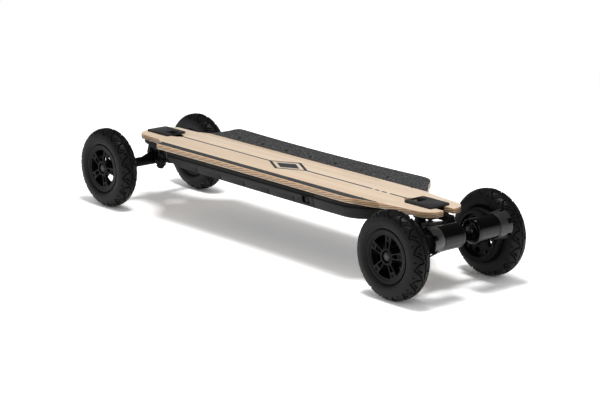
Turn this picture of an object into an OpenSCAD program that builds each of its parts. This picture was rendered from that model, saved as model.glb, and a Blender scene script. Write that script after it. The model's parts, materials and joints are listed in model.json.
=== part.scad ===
// Electric mountainboard: a creased bamboo deck on two double-kingpin trucks, four
// air-filled tyres and a toothed belt drive to each rear wheel. Millimetres.
// The nose points to -X, +Z is up, and the origin lies on the floor midway between
// the two axles.

/* [Wheels] */
// Distance between the two axles
wheelbase = 926; // [900:1:960]
// Distance between the front wheels, centre to centre
front_track = 257; // [252:1:275]
// Distance between the rear wheels, centre to centre
rear_track = 267; // [262:1:280]
// Diameter of a tyre
tyre_d = 178; // [174:1:186]
// Width of a tyre at its bulge
tyre_w = 44.7; // [42:0.1:47]
// Radius of the shoulder, where the tread meets the sidewall
shoulder_r = 80.5; // [78:0.5:84]
// Half the width of the tread at the shoulder
shoulder_y = 19.4; // [18:0.1:20]
// Thickness of the tyre's wall
tyre_wall = 3.4; // [2.5:0.1:5]
// Thickness of the rubber under the tread
tread_t = 6.5; // [5:0.5:9]
// Number of tread blocks round each half of a tyre
tread_count = 16; // [10:1:20]
// Width of the grooves between the tread blocks
tread_w = 2.4; // [1.2:0.1:3]
// Depth of the grooves between the tread blocks
tread_depth = 2.4; // [1:0.1:4]
// Outer radius of the rim's flange
flange_r = 53.2; // [52:0.1:54]
// Distance of the rim's outer face from the wheel's middle
rim_y = 19.2; // [18:0.1:20]
// Thickness of the rim's flange
flange_t = 2.2; // [1.5:0.1:3]
// Outer radius of the rim's barrel, where the tyre's bead sits
barrel_r = 49; // [48:0.1:50]
// Thickness of the rim's barrel
barrel_t = 3.5; // [2.5:0.1:4]
// Number of double spokes
spoke_count = 5; // [3:1:6]
// Direction of the front wheels' first spoke, from the tail towards the top
front_spoke_phase = 70; // [0:1:71]
// Direction of the rear wheels' first spoke
rear_spoke_phase = 12; // [0:1:71]
// Depth of a spoke along the axle
spoke_t = 5.5; // [4:0.5:8]
// How far the spokes lie in from the rim's outer face
spoke_inset = 0.9; // [0.5:0.1:2]
// Width of the flat ring that the spokes join, inwards from the barrel
ring_w = 3.5; // [2.5:0.5:5]
// Half the spread of a double spoke at that ring
spoke_spread = 8.6; // [7.6:0.1:10]
// Half the width of a double spoke at the hub
spoke_root = 5.2; // [4.6:0.1:6]
// Width of each rib of a double spoke
spoke_rib = 2.8; // [2:0.1:3.4]
// Distance from the barrel's inside to the circle of hub bolts
bolt_edge = 7.5; // [7:0.1:8.5]
// Radius of a hub bolt's shank
hub_bolt_r = 2; // [1.5:0.1:2.4]
// Radius of a hub bolt's head
hub_bolt_head_r = 3.5; // [3:0.1:3.8]
// Height of a hub bolt's head
hub_bolt_head_h = 4; // [2.5:0.5:4.5]
// Radius of the boss round a hub bolt
hub_bolt_boss_r = 6.4; // [5.6:0.1:6.8]
// Outer radius of the hub
hub_r = 15; // [14:0.1:16.5]
// Outer radius of a bearing
bearing_r = 12; // [11:0.5:13]
// Width of a bearing
bearing_w = 6; // [5:0.5:6.5]
// Distance from the wheel's middle to a bearing
bearing_y = 6; // [5:0.5:6.5]
// Radius of an axle
axle_r = 6; // [5:0.5:6.5]
// Height of an axle nut
axle_nut_h = 5; // [4:0.5:5.5]
// Width across the flats of an axle nut
axle_nut_af = 17; // [16:1:19]
// Length of axle beyond its nut
axle_end = 0.6; // [0.2:0.1:1]

/* [Deck] */
// Height of the deck's flat top
deck_z = 159.7; // [158:0.1:168]
// Thickness of the deck
deck_t = 11; // [10:0.5:13]
// Half the width of the flat between the two creases
crease_y = 68.5; // [66:0.5:70]
// Slope of the side wings
wing_deg = 13.2; // [8:0.1:18]
// Half the width of the deck at its waist
waist_y = 113.5; // [110:0.5:118]
// Half the width of the deck at its widest
wing_y = 119; // [116:0.5:122]
// Distance from an axle to the end of a wing's long side
wing_in = 183; // [175:1:190]
// How far the nose reaches past the front axle
nose_over = 2; // [0:1:6]
// Half the width of the nose
nose_y = 54; // [50:1:58]
// How far the two tail prongs reach past the rear axle
tail_over = 14; // [8:1:18]
// Half the width of the tail before it rounds off
tail_y = 55; // [52:0.5:58]
// Half the width of the slots through which the trucks drop
slot_y = 13.7; // [13.6:0.1:15]
// Distance from an axle to a slot's pointed inner end
slot_tip_in = 112; // [109:1:116]
// Length of a slot's point
slot_point = 22; // [15:1:26]
// Distance from the front axle to the outer end of the nose slot
slot_end_in = 14; // [10:1:15]
// Thickness of the grip tape
grip_t = 1; // [0.5:0.1:1.5]
// Margin of bare wood round the grip tape
grip_margin = 1.6; // [1:0.1:4]

/* [Enclosures] */
// Half the width of both enclosures at their ledge
box_y = 94.5; // [93:0.5:96]
// Slope inwards of their sides, over the whole side
box_draft = 4.5; // [2:0.5:6]
// Height of the ledge
ledge_z = 141; // [140.5:0.5:142]
// How far the upper band lies in from the ledge
ledge_in = 2.2; // [1:0.1:3]
// Wall of both enclosures
box_wall = 3; // [2:0.5:3.5]
// Radius of the long lower edges
box_round = 8; // [5:0.5:10]
// Thickness of the seal between the enclosures and the deck
seal_t = 1.5; // [1:0.1:2]
// Width of the seal
seal_w = 6; // [4:0.5:7]
// Distance from the front axle to the battery enclosure's slanted front
battery_in = 144; // [140:1:150]
// Length of its slanted front
slant_l = 51; // [44:1:56]
// Height of its floor at the front
battery_floor_z = 121.5; // [119:0.5:122]
// Radius of its front corners, seen from above
battery_round = 34; // [20:1:45]
// Distance from the rear axle to the seam between the two enclosures
seam_in = 275.5; // [270:0.5:280]
// Height of the electronics enclosure's floor, and of the battery's at the seam
electronics_z = 117; // [114:0.5:119]
// Radius of the electronics enclosure's rear corners, seen from above
rear_round = 70; // [50:1:80]
// Distance from the rear axle to the electronics enclosure's rear end
electronics_in = 125; // [119:1:133]
// Number of flex grooves across the battery enclosure
flex_count = 5; // [2:1:6]
// Distance from the slanted front to the first flex groove
flex_in = 127; // [115:1:135]
// Distance from the last flex groove to the middle of the recesses
flex_out = 37.5; // [30:0.5:45]
// Width and depth of a flex groove
flex_w = 1.4; // [0.8:0.1:1.6]
// Height to which the flex grooves climb the sides
flex_top_z = 133; // [128:1:138]
// Distance from the seam to the middle of the recesses for the power button and the
// charging socket
recess_in = 24; // [21:0.5:28]
// Length of a recess
recess_w = 22; // [20:1:24]
// Height of a recess
recess_h = 15; // [14:0.5:15.5]
// Height of a recess's middle
recess_z = 132; // [131.5:0.5:132.5]
// Depth of a recess, from the ledge's width
recess_d = 9; // [8:0.5:10]
// Diameter of the power button
button_d = 12; // [10:0.5:12.5]
// Travel of the power button
button_travel = 1.5; // [1:0.1:2]
// Diameter of the charging socket's opening
socket_d = 8; // [6:0.5:9]
// Depth of the charging socket
socket_depth = 9; // [7:0.5:11]
// Diameter of a battery cell
cell_d = 18.4; // [17:0.1:18.6]
// Length of a battery cell
cell_l = 65; // [60:1:68]
// Gap between two battery cells
cell_gap = 0.5; // [0.3:0.1:0.8]
// Radius of the screws that hold the enclosures
screw_r = 1.9; // [1.5:0.1:2.2]
// Distance from the slanted front to the first of those screws
screw_in = 65.8; // [60:0.2:70]
// Distance from the last screw to the electronics enclosure's rear end
screw_out = 32.1; // [28:0.1:36]
// Number of screws on each side
screw_count = 8; // [5:1:9]

/* [Trucks] */
// Thickness of the plate on top of the deck
plate_t = 4.3; // [4:0.1:6]
// Half the width of the plate
plate_y = 27.5; // [26:0.5:30]
// Distance from the axle to the plate's inner edge
plate_in = 83; // [82:1:86]
// Distance from the axle to the plate's outer edge
plate_out = 8; // [7:1:11]
// Corner radius of the plate
plate_round = 5; // [4:0.5:8]
// Thickness of the base's flange under the deck
base_t = 10.8; // [10:0.1:11]
// Tilt of the upper joint's axis
upper_tilt = 10; // [8:0.5:12]
// Tilt of the lower joint's axis
lower_tilt = 20; // [18:0.5:22]
// Distance from the axle to the middle of the upper joint's ring
upper_in = 62; // [61:0.5:63]
// Height of the upper ring above the axle
upper_up = 27; // [26.5:0.5:27.5]
// Distance from the axle to the middle of the lower joint's ring
lower_in = 29; // [28.5:0.5:29.5]
// Height of the lower ring above the axle
lower_up = 8; // [7.5:0.5:8.5]
// Outer radius of a ring
ring_r = 16; // [15:0.5:16.5]
// Radius of a ring's hole
ring_hole_r = 8; // [7.5:0.1:9]
// Half the thickness of a ring
ring_half = 4; // [3:0.5:5]
// Radius of a kingpin
kingpin_r = 5; // [4:0.5:5.5]
// Radius of a bushing
bushing_r = 11.5; // [10:0.5:11.5]
// Height of a bushing
bushing_h = 10; // [9:0.5:10]
// Thickness of a bushing's washer
washer_t = 1.5; // [1:0.1:1.6]
// Radius of a pivot pin
pivot_r = 6; // [5:0.5:6.5]
// Radius of a hanger's beam at the middle
beam_r = 10.5; // [10:0.5:11]
// Radius of a hanger's beam at its ends
beam_end_r = 9; // [8:0.5:9.5]
// Distance from a front wheel's middle to the end of the hanger's beam
front_beam_in = 26.5; // [24.5:0.5:32.5]
// Distance from a rear wheel's middle to the end of the hanger's beam
rear_beam_in = 45.5; // [43.5:0.5:46.5]

/* [Drive] */
// Teeth of a wheel pulley
wheel_teeth = 66; // [64:2:66]
// Teeth of a motor pulley
motor_teeth = 15; // [14:1:16]
// Teeth of a belt
belt_teeth = 72; // [72:2:74]
// Distance between two teeth of a belt
belt_pitch = 5; // [4.9:0.05:5]
// Width of a belt
belt_w = 14; // [12:0.5:14.5]
// Distance from a rear wheel's middle to its belt's inner edge
belt_in = 39.5; // [38.5:0.5:40]
// Direction from the axle to a motor, up from the tail
motor_deg = 30; // [26:1:34]
// Radius of a motor
motor_r = 25; // [23:0.5:25.5]
// Distance from a rear wheel's middle to the motor's mounting face
motor_in = 55.5; // [54.5:0.5:56.5]
// Length of a motor
motor_l = 59; // [54:0.5:62]
// Thickness of the motor mount's plate
mount_t = 8; // [7:0.5:8.5]
// Radius of the guard round a motor pulley, at its outer end
guard_r = 30; // [29:0.5:32]
// Thickness of the guard
guard_t = 2.5; // [2:0.1:3]
// Radius of a motor's shaft
shaft_r = 4; // [3:0.5:4]

/* [Hidden] */
$fn = 64;
corners = ["front_left", "front_right", "rear_left", "rear_right"];

fit = 0.05;
gap = 0.3;
cut = 1;
// Room that a wide cut leaves past the deck
margin = 10;
axle_z = tyre_d / 2;
half_base = wheelbase / 2;
bolt_circle_r = barrel_r - barrel_t - bolt_edge;
wing_x = half_base - wing_in;
nose_x = half_base + nose_over;
tail_x = half_base + tail_over;
slot_tip_x = half_base - slot_tip_in;
slot_end_x = half_base - slot_end_in;
battery_front_x = -half_base + battery_in;
battery_floor_x = battery_front_x + slant_l;
seam_x = half_base - seam_in;
electronics_end_x = half_base - electronics_in;
recess_x = seam_x - recess_in;
flex_first_x = battery_front_x + flex_in;
flex_pitch = (recess_x - flex_out - flex_first_x) / (flex_count - 1);
front_beam_y = front_track / 2 - front_beam_in;
rear_beam_y = rear_track / 2 - rear_beam_in;
belt_y = rear_track / 2 - belt_in;
motor_face_y = rear_track / 2 - motor_in;
motor_in_y = motor_face_y - motor_l;
wood = "burlywood";
rubber = "#202224";
alloy = "#2a2c2e";
steel = "silver";
moulding = "#33363a";

// The deck's section
crease_fall = deck_t * tan(wing_deg / 2);
under_crease_y = crease_y + crease_fall;
under_z = deck_z - deck_t;
function top_z(y) = deck_z + max(0, abs(y) - crease_y) * tan(wing_deg);
function bottom_z(y) = under_z + max(0, abs(y) - under_crease_y) * tan(wing_deg);

// Points on a quarter of an ellipse or, with a power below 1, of a squarer curve
function bend(cx, cy, a, b, from, to, steps = 8, power = 1) = [for (i = [0 : steps])
    let (t = from + (to - from) * i / steps)
    [cx + a * sign(cos(t)) * pow(abs(cos(t)), power),
     cy + b * sign(sin(t)) * pow(abs(sin(t)), power)]];

// One wing's side, which bows in towards the waist
function side_bow(inset, steps = 12) = [for (i = [0 : steps])
    let (x = -wing_x + 2 * wing_x * i / steps)
    [x, waist_y + (wing_y - waist_y) * pow(x / wing_x, 2) - inset]];

nose_bend = 40;
nose_neck = 88;
tail_bend_x = 40;
tail_bend_y = 30;
tail_neck = 62;
front_taper = 66;
front_round = 22;
rear_taper = 71;
rear_wing_x = 38;
rear_wing_y = 35;
function half_outline(inset) = concat(
    bend(-nose_x + nose_bend + inset, 0, nose_bend, nose_y - inset, 180, 90, 8, 0.8),
    [[-half_base + nose_neck, nose_y + 1.5 - inset]],
    [[-wing_x - front_taper, crease_y - inset]],
    [[-wing_x - front_taper + 26, wing_y - front_round - 5 - inset]],
    bend(-wing_x - 10, wing_y - front_round - inset, front_round, front_round, 165, 95),
    side_bow(inset),
    bend(wing_x + 10, wing_y - rear_wing_y - inset, rear_wing_x, rear_wing_y, 82, 20, 8, 0.85),
    [[wing_x + rear_taper - 5, crease_y + 7.5 - inset]],
    [[wing_x + rear_taper, crease_y - 2 - inset]],
    [[half_base - tail_neck, tail_y + 4 - inset]],
    bend(tail_x - tail_bend_x - inset, tail_y - tail_bend_y, tail_bend_x,
        tail_bend_y - inset, 90, 0),
    [[tail_x - inset, 0]]);

module outline(inset = 0) {
    half = half_outline(inset);
    polygon(concat(half, [for (i = [len(half) - 2 : -1 : 1]) [half[i][0], -half[i][1]]]));
}

// The truck slots: pointed towards the middle, closed at the nose, open at the tail
module slots() {
    for (side = [-1, 1]) {
        end_x = side < 0 ? -slot_end_x : tail_x + cut;
        polygon([
            [side * slot_tip_x, 0], [side * (slot_tip_x + slot_point), slot_y],
            [end_x, slot_y], [end_x, -slot_y],
            [side * (slot_tip_x + slot_point), -slot_y]
        ]);
    }
}

// Extrudes a section drawn in Y and Z along X
module along_x(from, to) {
    translate([from, 0, 0]) rotate([90, 0, 90]) linear_extrude(to - from) children();
}

// Extrudes a profile drawn in X and Z across the board
module across(half) {
    translate([0, half, 0]) rotate([90, 0, 0]) linear_extrude(2 * half) children();
}

// Places children at one truck, with its axle at the origin. The front truck faces
// the other way
module at_truck(front) {
    rotate([0, 0, front ? 180 : 0]) translate([half_base, 0, axle_z]) children();
}

// Frame of a truck joint: X along the pivot, outwards and up, Z along the kingpin
module at_upper() {
    translate([-upper_in, 0, upper_up]) rotate([0, -upper_tilt, 0]) children();
}

module at_lower() {
    translate([-lower_in, 0, lower_up]) rotate([0, -lower_tilt, 0]) children();
}

// A rod along X
module rod_x(r, from, to) {
    translate([from, 0, 0]) rotate([0, 90, 0]) cylinder(r = r, h = to - from);
}

// A rod along Y, from the lesser to the greater value
module rod_y(r, from, to) {
    translate([0, from, 0]) rotate([-90, 0, 0]) cylinder(r = r, h = to - from);
}

// A hexagon head or nut along Z, measured across its flats
module hex(af, h) {
    cylinder(r = af / 2 / cos(30), h = h, $fn = 6);
}

// Deck
module deck_section() {
    far = wing_y + margin;
    polygon([
        [-far, top_z(far)], [-crease_y, deck_z], [crease_y, deck_z], [far, top_z(far)],
        [far, bottom_z(far)], [under_crease_y, under_z], [-under_crease_y, under_z],
        [-far, bottom_z(far)]
    ]);
}

base_bolt_r = 2.4;
base_bolt_head_r = 4.2;
base_bolt_head_h = 4;
base_bolt_x = [-plate_in + 6, -plate_out - 7];
base_bolt_y = plate_y - 7;
module base_bolt_places() {
    for (front = [true, false])
        at_truck(front)
            for (x = base_bolt_x, y = [-base_bolt_y, base_bolt_y])
                translate([x, y, 0]) children();
}

screw_y = 80.3;
screw_head_r = 3.4;
first_screw_x = battery_front_x + screw_in;
last_screw_x = electronics_end_x - screw_out;
screw_pitch = (last_screw_x - 4 - first_screw_x) / (screw_count - 1);
// The last pair stands further in, where the enclosure rounds off
screw_places = concat(
    [for (i = [0 : screw_count - 2]) [first_screw_x + i * screw_pitch, screw_y]],
    [[last_screw_x, screw_y - 10]]);
module at_screws() {
    for (place = screw_places, side = [-1, 1])
        translate([place[0], side * place[1], top_z(place[1])]) children();
}

module deck() {
    color(wood) difference() {
        intersection() {
            along_x(-nose_x - cut, tail_x + cut) deck_section();
            linear_extrude(top_z(wing_y + margin)) outline();
        }
        translate([0, 0, under_z - cut]) linear_extrude(deck_t + 2 * cut) slots();
        base_bolt_places()
            translate([0, 0, under_z - axle_z - cut])
                cylinder(r = base_bolt_r + gap, h = deck_t + 2 * cut);
        at_screws() {
            translate([0, 0, -deck_t - 3]) cylinder(r = screw_r + gap, h = deck_t + 6);
            translate([0, 0, -screw_sink]) cylinder(r = screw_head_r + gap, h = 6);
        }
    }
}

// The grip tape's section on one wing
module wing_strip() {
    near = crease_y + gap;
    far = wing_y + margin;
    polygon([
        [near, top_z(near)], [far, top_z(far)], [far, top_z(far) + grip_t],
        [near, top_z(near) + grip_t]
    ]);
}

// A sheet of grip tape lies on each wing, from the crease to the edge
module grip_tape() {
    color("#45474a") difference() {
        intersection() {
            along_x(-wing_x - front_taper, wing_x + rear_taper - 1) for (side = [0, 1])
                mirror([side, 0]) wing_strip();
            linear_extrude(top_z(wing_y + margin)) outline(grip_margin);
        }
        at_screws() translate([0, 0, -3]) cylinder(r = screw_head_r + gap, h = 8);
    }
}

screw_sink = 1.6;
screw_head_h = 2.4;
screw_length = 26;
module enclosure_screws() {
    color(steel) at_screws() {
        difference() {
            translate([0, 0, -screw_sink]) cylinder(r = screw_head_r, h = screw_head_h);
            translate([0, 0, screw_head_h - screw_sink - 1]) hex(screw_head_r, 1 + cut);
        }
        translate([0, 0, -screw_sink - screw_length])
            cylinder(r = screw_r, h = screw_length + fit);
    }
}

// Enclosures. A wall is drawn as a distance in from the ledge's outline and a height
function tub_wall(inset, floor_z) = concat(
    [[-inset, ledge_z + (inset > 0 ? cut : 0)]],
    [for (a = [0 : 15 : 90])
        [-box_draft - box_round + (box_round - inset) * cos(a),
         floor_z + box_round - (box_round - inset) * sin(a)]]);

function band_wall(inset) = [
    [-ledge_in - inset, deck_z], [-ledge_in - inset, ledge_z - (inset > 0 ? cut : 0)]];

// The full width of an enclosure with that wall on both sides
module tub_section(wall) {
    half = [for (p = wall) [box_y + p[0], p[1]]];
    polygon(concat(half, [for (i = [len(half) - 1 : -1 : 0]) [-half[i][0], half[i][1]]]));
}

// The same wall led round the rear end, with a quarter turn at each corner
module tub_end(wall) {
    x = electronics_end_x - rear_round;
    last = wall[len(wall) - 1];
    foot = [[0, last[1]], [0, wall[0][1]]];
    round_wall = concat([for (p = wall) [rear_round + p[0], p[1]]], foot);
    for (side = [-1, 1])
        translate([x, side * (box_y - rear_round), 0]) rotate([0, 0, side > 0 ? 0 : -90])
            rotate_extrude(angle = 90) polygon(round_wall);
    translate([x, 0, 0]) across(box_y - rear_round) polygon(round_wall);
}

// Everything below the deck's underside, less the seal
module below_deck(extra) {
    along_x(battery_front_x - cut, electronics_end_x + cut) polygon([
        [-box_y, 0], [-box_y, bottom_z(box_y) - seal_t + extra],
        [-under_crease_y, under_z - seal_t + extra],
        [under_crease_y, under_z - seal_t + extra],
        [box_y, bottom_z(box_y) - seal_t + extra], [box_y, 0]
    ]);
}

module battery_plan(inset, end_inset) {
    x = battery_front_x + battery_round;
    polygon(concat([[seam_x - end_inset, -box_y + inset], [seam_x - end_inset, box_y - inset]],
        bend(x, box_y - battery_round, battery_round - inset, battery_round - inset, 90, 180),
        bend(x, -box_y + battery_round, battery_round - inset, battery_round - inset, 180, 270)));
}

// Seen from the side: the front slants, and the floor falls gently towards the tail
module battery_profile(inset) {
    slant_top = under_z - 2;
    polygon([
        [battery_front_x + inset, deck_z], [battery_front_x + inset, slant_top + inset / 2],
        [battery_floor_x + inset / 2, battery_floor_z + inset],
        [seam_x + cut, electronics_z + inset], [seam_x + cut, deck_z]
    ]);
}

module battery_solid(inset) {
    intersection() {
        union() {
            along_x(battery_front_x - cut, seam_x + cut)
                tub_section(tub_wall(inset, electronics_z));
            along_x(battery_front_x - cut, seam_x + cut) tub_section(band_wall(inset));
        }
        across(box_y + cut) battery_profile(inset);
        linear_extrude(deck_z) battery_plan(inset, inset);
        below_deck(inset > 0 ? cut : 0);
    }
}

// A post stands on the floor under each screw
module posts(from_x, to_x) {
    for (place = screw_places, side = [-1, 1])
        if (place[0] > from_x && place[0] < to_x)
            translate([place[0], side * place[1], electronics_z])
                cylinder(r = screw_r + 2.6, h = deck_z - electronics_z);
}

module post_holes() {
    for (place = screw_places, side = [-1, 1])
        translate([place[0], side * place[1], top_z(place[1]) - screw_sink - screw_length - 1])
            cylinder(r = screw_r + fit, h = screw_length + 1);
}

// A square recess in one side
module recess(side, grow) {
    depth = recess_d + grow + cut;
    translate([recess_x, side * (box_y + cut - depth / 2), recess_z])
        cube([recess_w + 2 * grow, depth, recess_h + 2 * grow], center = true);
}

wire_hole_r = 7;
wire_hole_z = 131;
module wire_hole() {
    translate([0, 0, wire_hole_z]) rod_x(wire_hole_r, seam_x - 2 * box_wall, seam_x + 2 * box_wall);
}

recess_floor_y = box_y - recess_d;
module at_button() {
    translate([recess_x, -recess_floor_y, recess_z]) children();
}

module at_socket() {
    translate([recess_x, recess_floor_y, recess_z]) children();
}

socket_body_r = 6;
module battery_enclosure() {
    color(moulding) difference() {
        union() {
            difference() {
                battery_solid(0);
                battery_solid(box_wall);
            }
            intersection() {
                battery_solid(0);
                union() {
                    for (side = [-1, 1])
                        recess(side, box_wall);
                    posts(battery_floor_x, seam_x);
                }
            }
        }
        for (side = [-1, 1])
            recess(side, 0);
        at_button() rod_y(button_d / 2 + gap, -cut, 2 * box_wall);
        at_socket() rod_y(socket_body_r + fit, -2 * box_wall, cut);
        flex_grooves();
        post_holes();
        wire_hole();
    }
}

// A flex groove runs across the floor and climbs both sides a little way
module flex_grooves() {
    difference() {
        for (i = [0 : flex_count - 1])
            translate([flex_first_x + i * flex_pitch - flex_w / 2, -box_y - cut,
                electronics_z - cut])
                cube([flex_w, 2 * (box_y + cut), flex_top_z - electronics_z + cut]);
        battery_solid(flex_w);
    }
}

module electronics_solid(inset) {
    intersection() {
        union() {
            along_x(seam_x + inset, electronics_end_x - rear_round)
                tub_section(tub_wall(inset, electronics_z));
            along_x(seam_x + inset, electronics_end_x - rear_round)
                tub_section(band_wall(inset));
            tub_end(tub_wall(inset, electronics_z));
            tub_end(band_wall(inset));
        }
        below_deck(inset > 0 ? cut : 0);
    }
}

module electronics_enclosure() {
    color(moulding) difference() {
        union() {
            difference() {
                electronics_solid(0);
                electronics_solid(box_wall);
            }
            intersection() {
                electronics_solid(0);
                posts(seam_x, electronics_end_x);
            }
        }
        post_holes();
        wire_hole();
    }
}

// A soft seal follows the rim of both enclosures, against the underside of the deck
module seal_plan(inset) {
    polygon(concat(
        bend(electronics_end_x - rear_round, -box_y + rear_round, rear_round - inset,
            rear_round - inset, -90, 0, 12),
        bend(electronics_end_x - rear_round, box_y - rear_round, rear_round - inset,
            rear_round - inset, 0, 90, 12),
        bend(battery_front_x + battery_round, box_y - battery_round, battery_round - inset,
            battery_round - inset, 90, 180),
        bend(battery_front_x + battery_round, -box_y + battery_round, battery_round - inset,
            battery_round - inset, 180, 270)));
}

seal_front = 6;
module enclosure_seal() {
    color(rubber) difference() {
        intersection() {
            along_x(battery_front_x + seal_front, electronics_end_x) polygon([
                [-box_y, bottom_z(box_y)], [-under_crease_y, under_z],
                [under_crease_y, under_z], [box_y, bottom_z(box_y)],
                [box_y, bottom_z(box_y) - seal_t], [under_crease_y, under_z - seal_t],
                [-under_crease_y, under_z - seal_t], [-box_y, bottom_z(box_y) - seal_t]
            ]);
            linear_extrude(deck_z) seal_plan(ledge_in);
        }
        linear_extrude(deck_z) intersection() {
            seal_plan(ledge_in + seal_w);
            translate([battery_front_x + seal_front + seal_w, -box_y])
                square([electronics_end_x - battery_front_x, 2 * box_y]);
        }
    }
}

// The cells lie across the board in two columns and follow the falling floor
function battery_floor(x) = battery_floor_z
    + (electronics_z - battery_floor_z) * (x - battery_floor_x) / (seam_x - battery_floor_x);
first_cell_x = battery_floor_x + 30;
board_l = 30;
board_x = recess_x - board_l - 21.5;
cell_rows = floor((board_x - 2 - cell_d / 2 - first_cell_x) / (cell_d + cell_gap)) + 1;
module battery_cells() {
    cell_r = cell_d / 2;
    color("steelblue") for (i = [0 : cell_rows - 1], side = [-1, 1]) {
        x = first_cell_x + i * (cell_d + cell_gap);
        low = side < 0 ? -cell_l - cell_gap / 2 : cell_gap / 2;
        translate([x, 0, battery_floor(x) + box_wall + gap + cell_r])
            rod_y(cell_r, low, low + cell_l);
    }
}

// The board behind the button and the socket that watches over the cells
board_half_y = 60;
board_t = 1.6;
board_leg = 3;
module battery_board() {
    z = battery_floor(board_x) + box_wall;
    chip = [12, 10, 5];
    color("darkgreen") {
        translate([board_x, -board_half_y, z + board_leg])
            cube([board_l, 2 * board_half_y, board_t]);
        for (side = [-1, 1])
            translate([board_x + board_l / 2, side * (board_half_y - 8), z])
                cylinder(r = board_leg, h = board_leg);
        for (i = [-2 : 2])
            translate([board_x + 8, i * board_half_y / 3 - chip[1] / 2, z + board_leg + board_t])
                cube(chip);
        power_switch();
    }
}

// The switch stands on the floor behind the button, clear of its whole travel
module power_switch() {
    half_l = 7;
    floor_z = battery_floor(recess_x - half_l) + box_wall;
    near_y = -recess_floor_y + button_back + button_travel + gap;
    translate([recess_x - half_l, near_y, floor_z])
        cube([2 * half_l, 6, recess_z + half_l - floor_z]);
}

// The controller stands on the electronics enclosure's floor, with its cooling ribs up
controller_l = 96;
controller_y = 58;
controller_h = 14;
fin_h = 6;
fin_t = 3;
fin_pitch = 8;
module motor_controller() {
    z = electronics_z + box_wall;
    color("dimgray") translate([seam_x + 8.5, -controller_y, z]) {
        cube([controller_l, 2 * controller_y, controller_h]);
        for (y = [0 : fin_pitch : 2 * controller_y - fin_t])
            translate([0, y, controller_h - fit]) cube([controller_l, fin_t, fin_h]);
    }
}

// The socket's flange lies on the floor of its recess
module charging_socket() {
    flange_h = 1.5;
    color("#1c1d1f") at_socket() difference() {
        union() {
            rod_y(socket_body_r, -socket_depth + flange_h - 2, flange_h);
            rod_y(socket_body_r + 1, 0, flange_h);
        }
        rod_y(socket_d / 2, -socket_depth + flange_h, flange_h + cut);
    }
}

// The button's collar holds it in its hole from inside
button_proud = 3.5;
button_back = box_wall + gap + 2;
module power_button() {
    color("#3c3e41") at_button() {
        rod_y(button_d / 2, -button_proud, button_back);
        rod_y(button_d / 2 + 2, box_wall + gap, button_back);
    }
}

// Trucks
module plate_outline(grow) {
    r = plate_round + grow;
    x_mid = -(plate_in + plate_out) / 2;
    half_l = (plate_in - plate_out) / 2 + grow;
    half_w = plate_y + grow;
    square_at(x_mid, half_l - r, half_w);
    square_at(x_mid, half_l, half_w - r);
    for (x = [-1, 1], y = [-1, 1])
        translate([x_mid + x * (half_l - r), y * (half_w - r)]) circle(r);
}

module square_at(x, half_x, half_y) {
    translate([x - half_x, -half_y]) square([2 * half_x, 2 * half_y]);
}

base_z = deck_z - axle_z;
window_x = -69;
window_half_x = 13;
window_half_y = 12;
block_half_y = slot_y - 0.5;
module top_plates() {
    color(alloy) for (front = [true, false])
        at_truck(front) difference() {
            translate([0, 0, base_z]) linear_extrude(plate_t) difference() {
                plate_outline(0);
                square_at(window_x, window_half_x, window_half_y);
            }
            for (x = base_bolt_x, y = [-base_bolt_y, base_bolt_y])
                translate([x, y, base_z - cut])
                    cylinder(r = base_bolt_r + fit, h = plate_t * 0.7 + cut);
        }
}

seat_z = ring_half + bushing_h + washer_t + 0.1;
boss_r = 13;
cup_from = 72.5;
cup_to = 87;
cup_r = 10;
head_af = 16;
head_from = 34;
module truck_bases() {
    color(alloy) for (front = [true, false])
        at_truck(front) truck_base();
}

module truck_base() {
    flange_z = base_z - deck_t - base_t;
    block_in = -upper_in - 16;
    block_out = -upper_in + 46;
    difference() {
        union() {
            translate([0, 0, flange_z]) linear_extrude(base_t) plate_outline(-0.5);
            translate([block_in, -block_half_y, flange_z])
                cube([block_out - block_in, 2 * block_half_y, base_z - flange_z]);
            intersection() {
                at_upper() cylinder(r = boss_r, h = 60, center = false);
                translate([-120, -60, 0]) cube([120, 120, flange_z + cut]);
            }
            arm(flange_z);
        }
        at_upper() {
            translate([0, 0, -30]) cylinder(r = ring_r + cut, h = 30 + seat_z);
            cylinder(r = kingpin_r + gap, h = 80);
            translate([0, 0, head_from]) cylinder(r = head_af / 2 / cos(30) + 0.6, h = 40);
            rod_x(pivot_r + fit, cup_from - cut, cup_to - 0.8);
        }
        for (x = base_bolt_x, y = [-base_bolt_y, base_bolt_y])
            translate([x, y, flange_z - cut])
                cylinder(r = base_bolt_r + fit, h = base_t + 2 * cut);
    }
}

// The arm reaches out under the deck to the cup that holds the link's pivot pin
module arm(flange_z) {
    arm_half = 9;
    cup_u = -upper_in + cup_to * cos(upper_tilt) - cup_r * sin(upper_tilt);
    top = flange_z + base_t - 0.4;
    cup_in_u = -upper_in + cup_from * cos(upper_tilt);
    cup_z = upper_up + cup_from * sin(upper_tilt);
    across(arm_half) polygon([
        [-plate_out - 10, flange_z], [cup_in_u - cut, flange_z],
        [cup_in_u, cup_z], [cup_u, cup_z], [cup_u, top], [-plate_out - 10, top]
    ]);
    intersection() {
        at_upper() rod_x(cup_r, cup_from, cup_to);
        translate([-20, -cup_r, 0]) cube([80, 2 * cup_r, top]);
    }
}

module base_bolts() {
    under = base_z - deck_t - base_t;
    color(steel) base_bolt_places() {
        translate([0, 0, under - base_bolt_head_h]) difference() {
            cylinder(r = base_bolt_head_r, h = base_bolt_head_h);
            translate([0, 0, -cut]) hex(base_bolt_head_r, 2 + cut);
        }
        translate([0, 0, under - cut]) cylinder(r = base_bolt_r,
            h = base_t + deck_t + plate_t * 0.6 + cut);
    }
}

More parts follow.
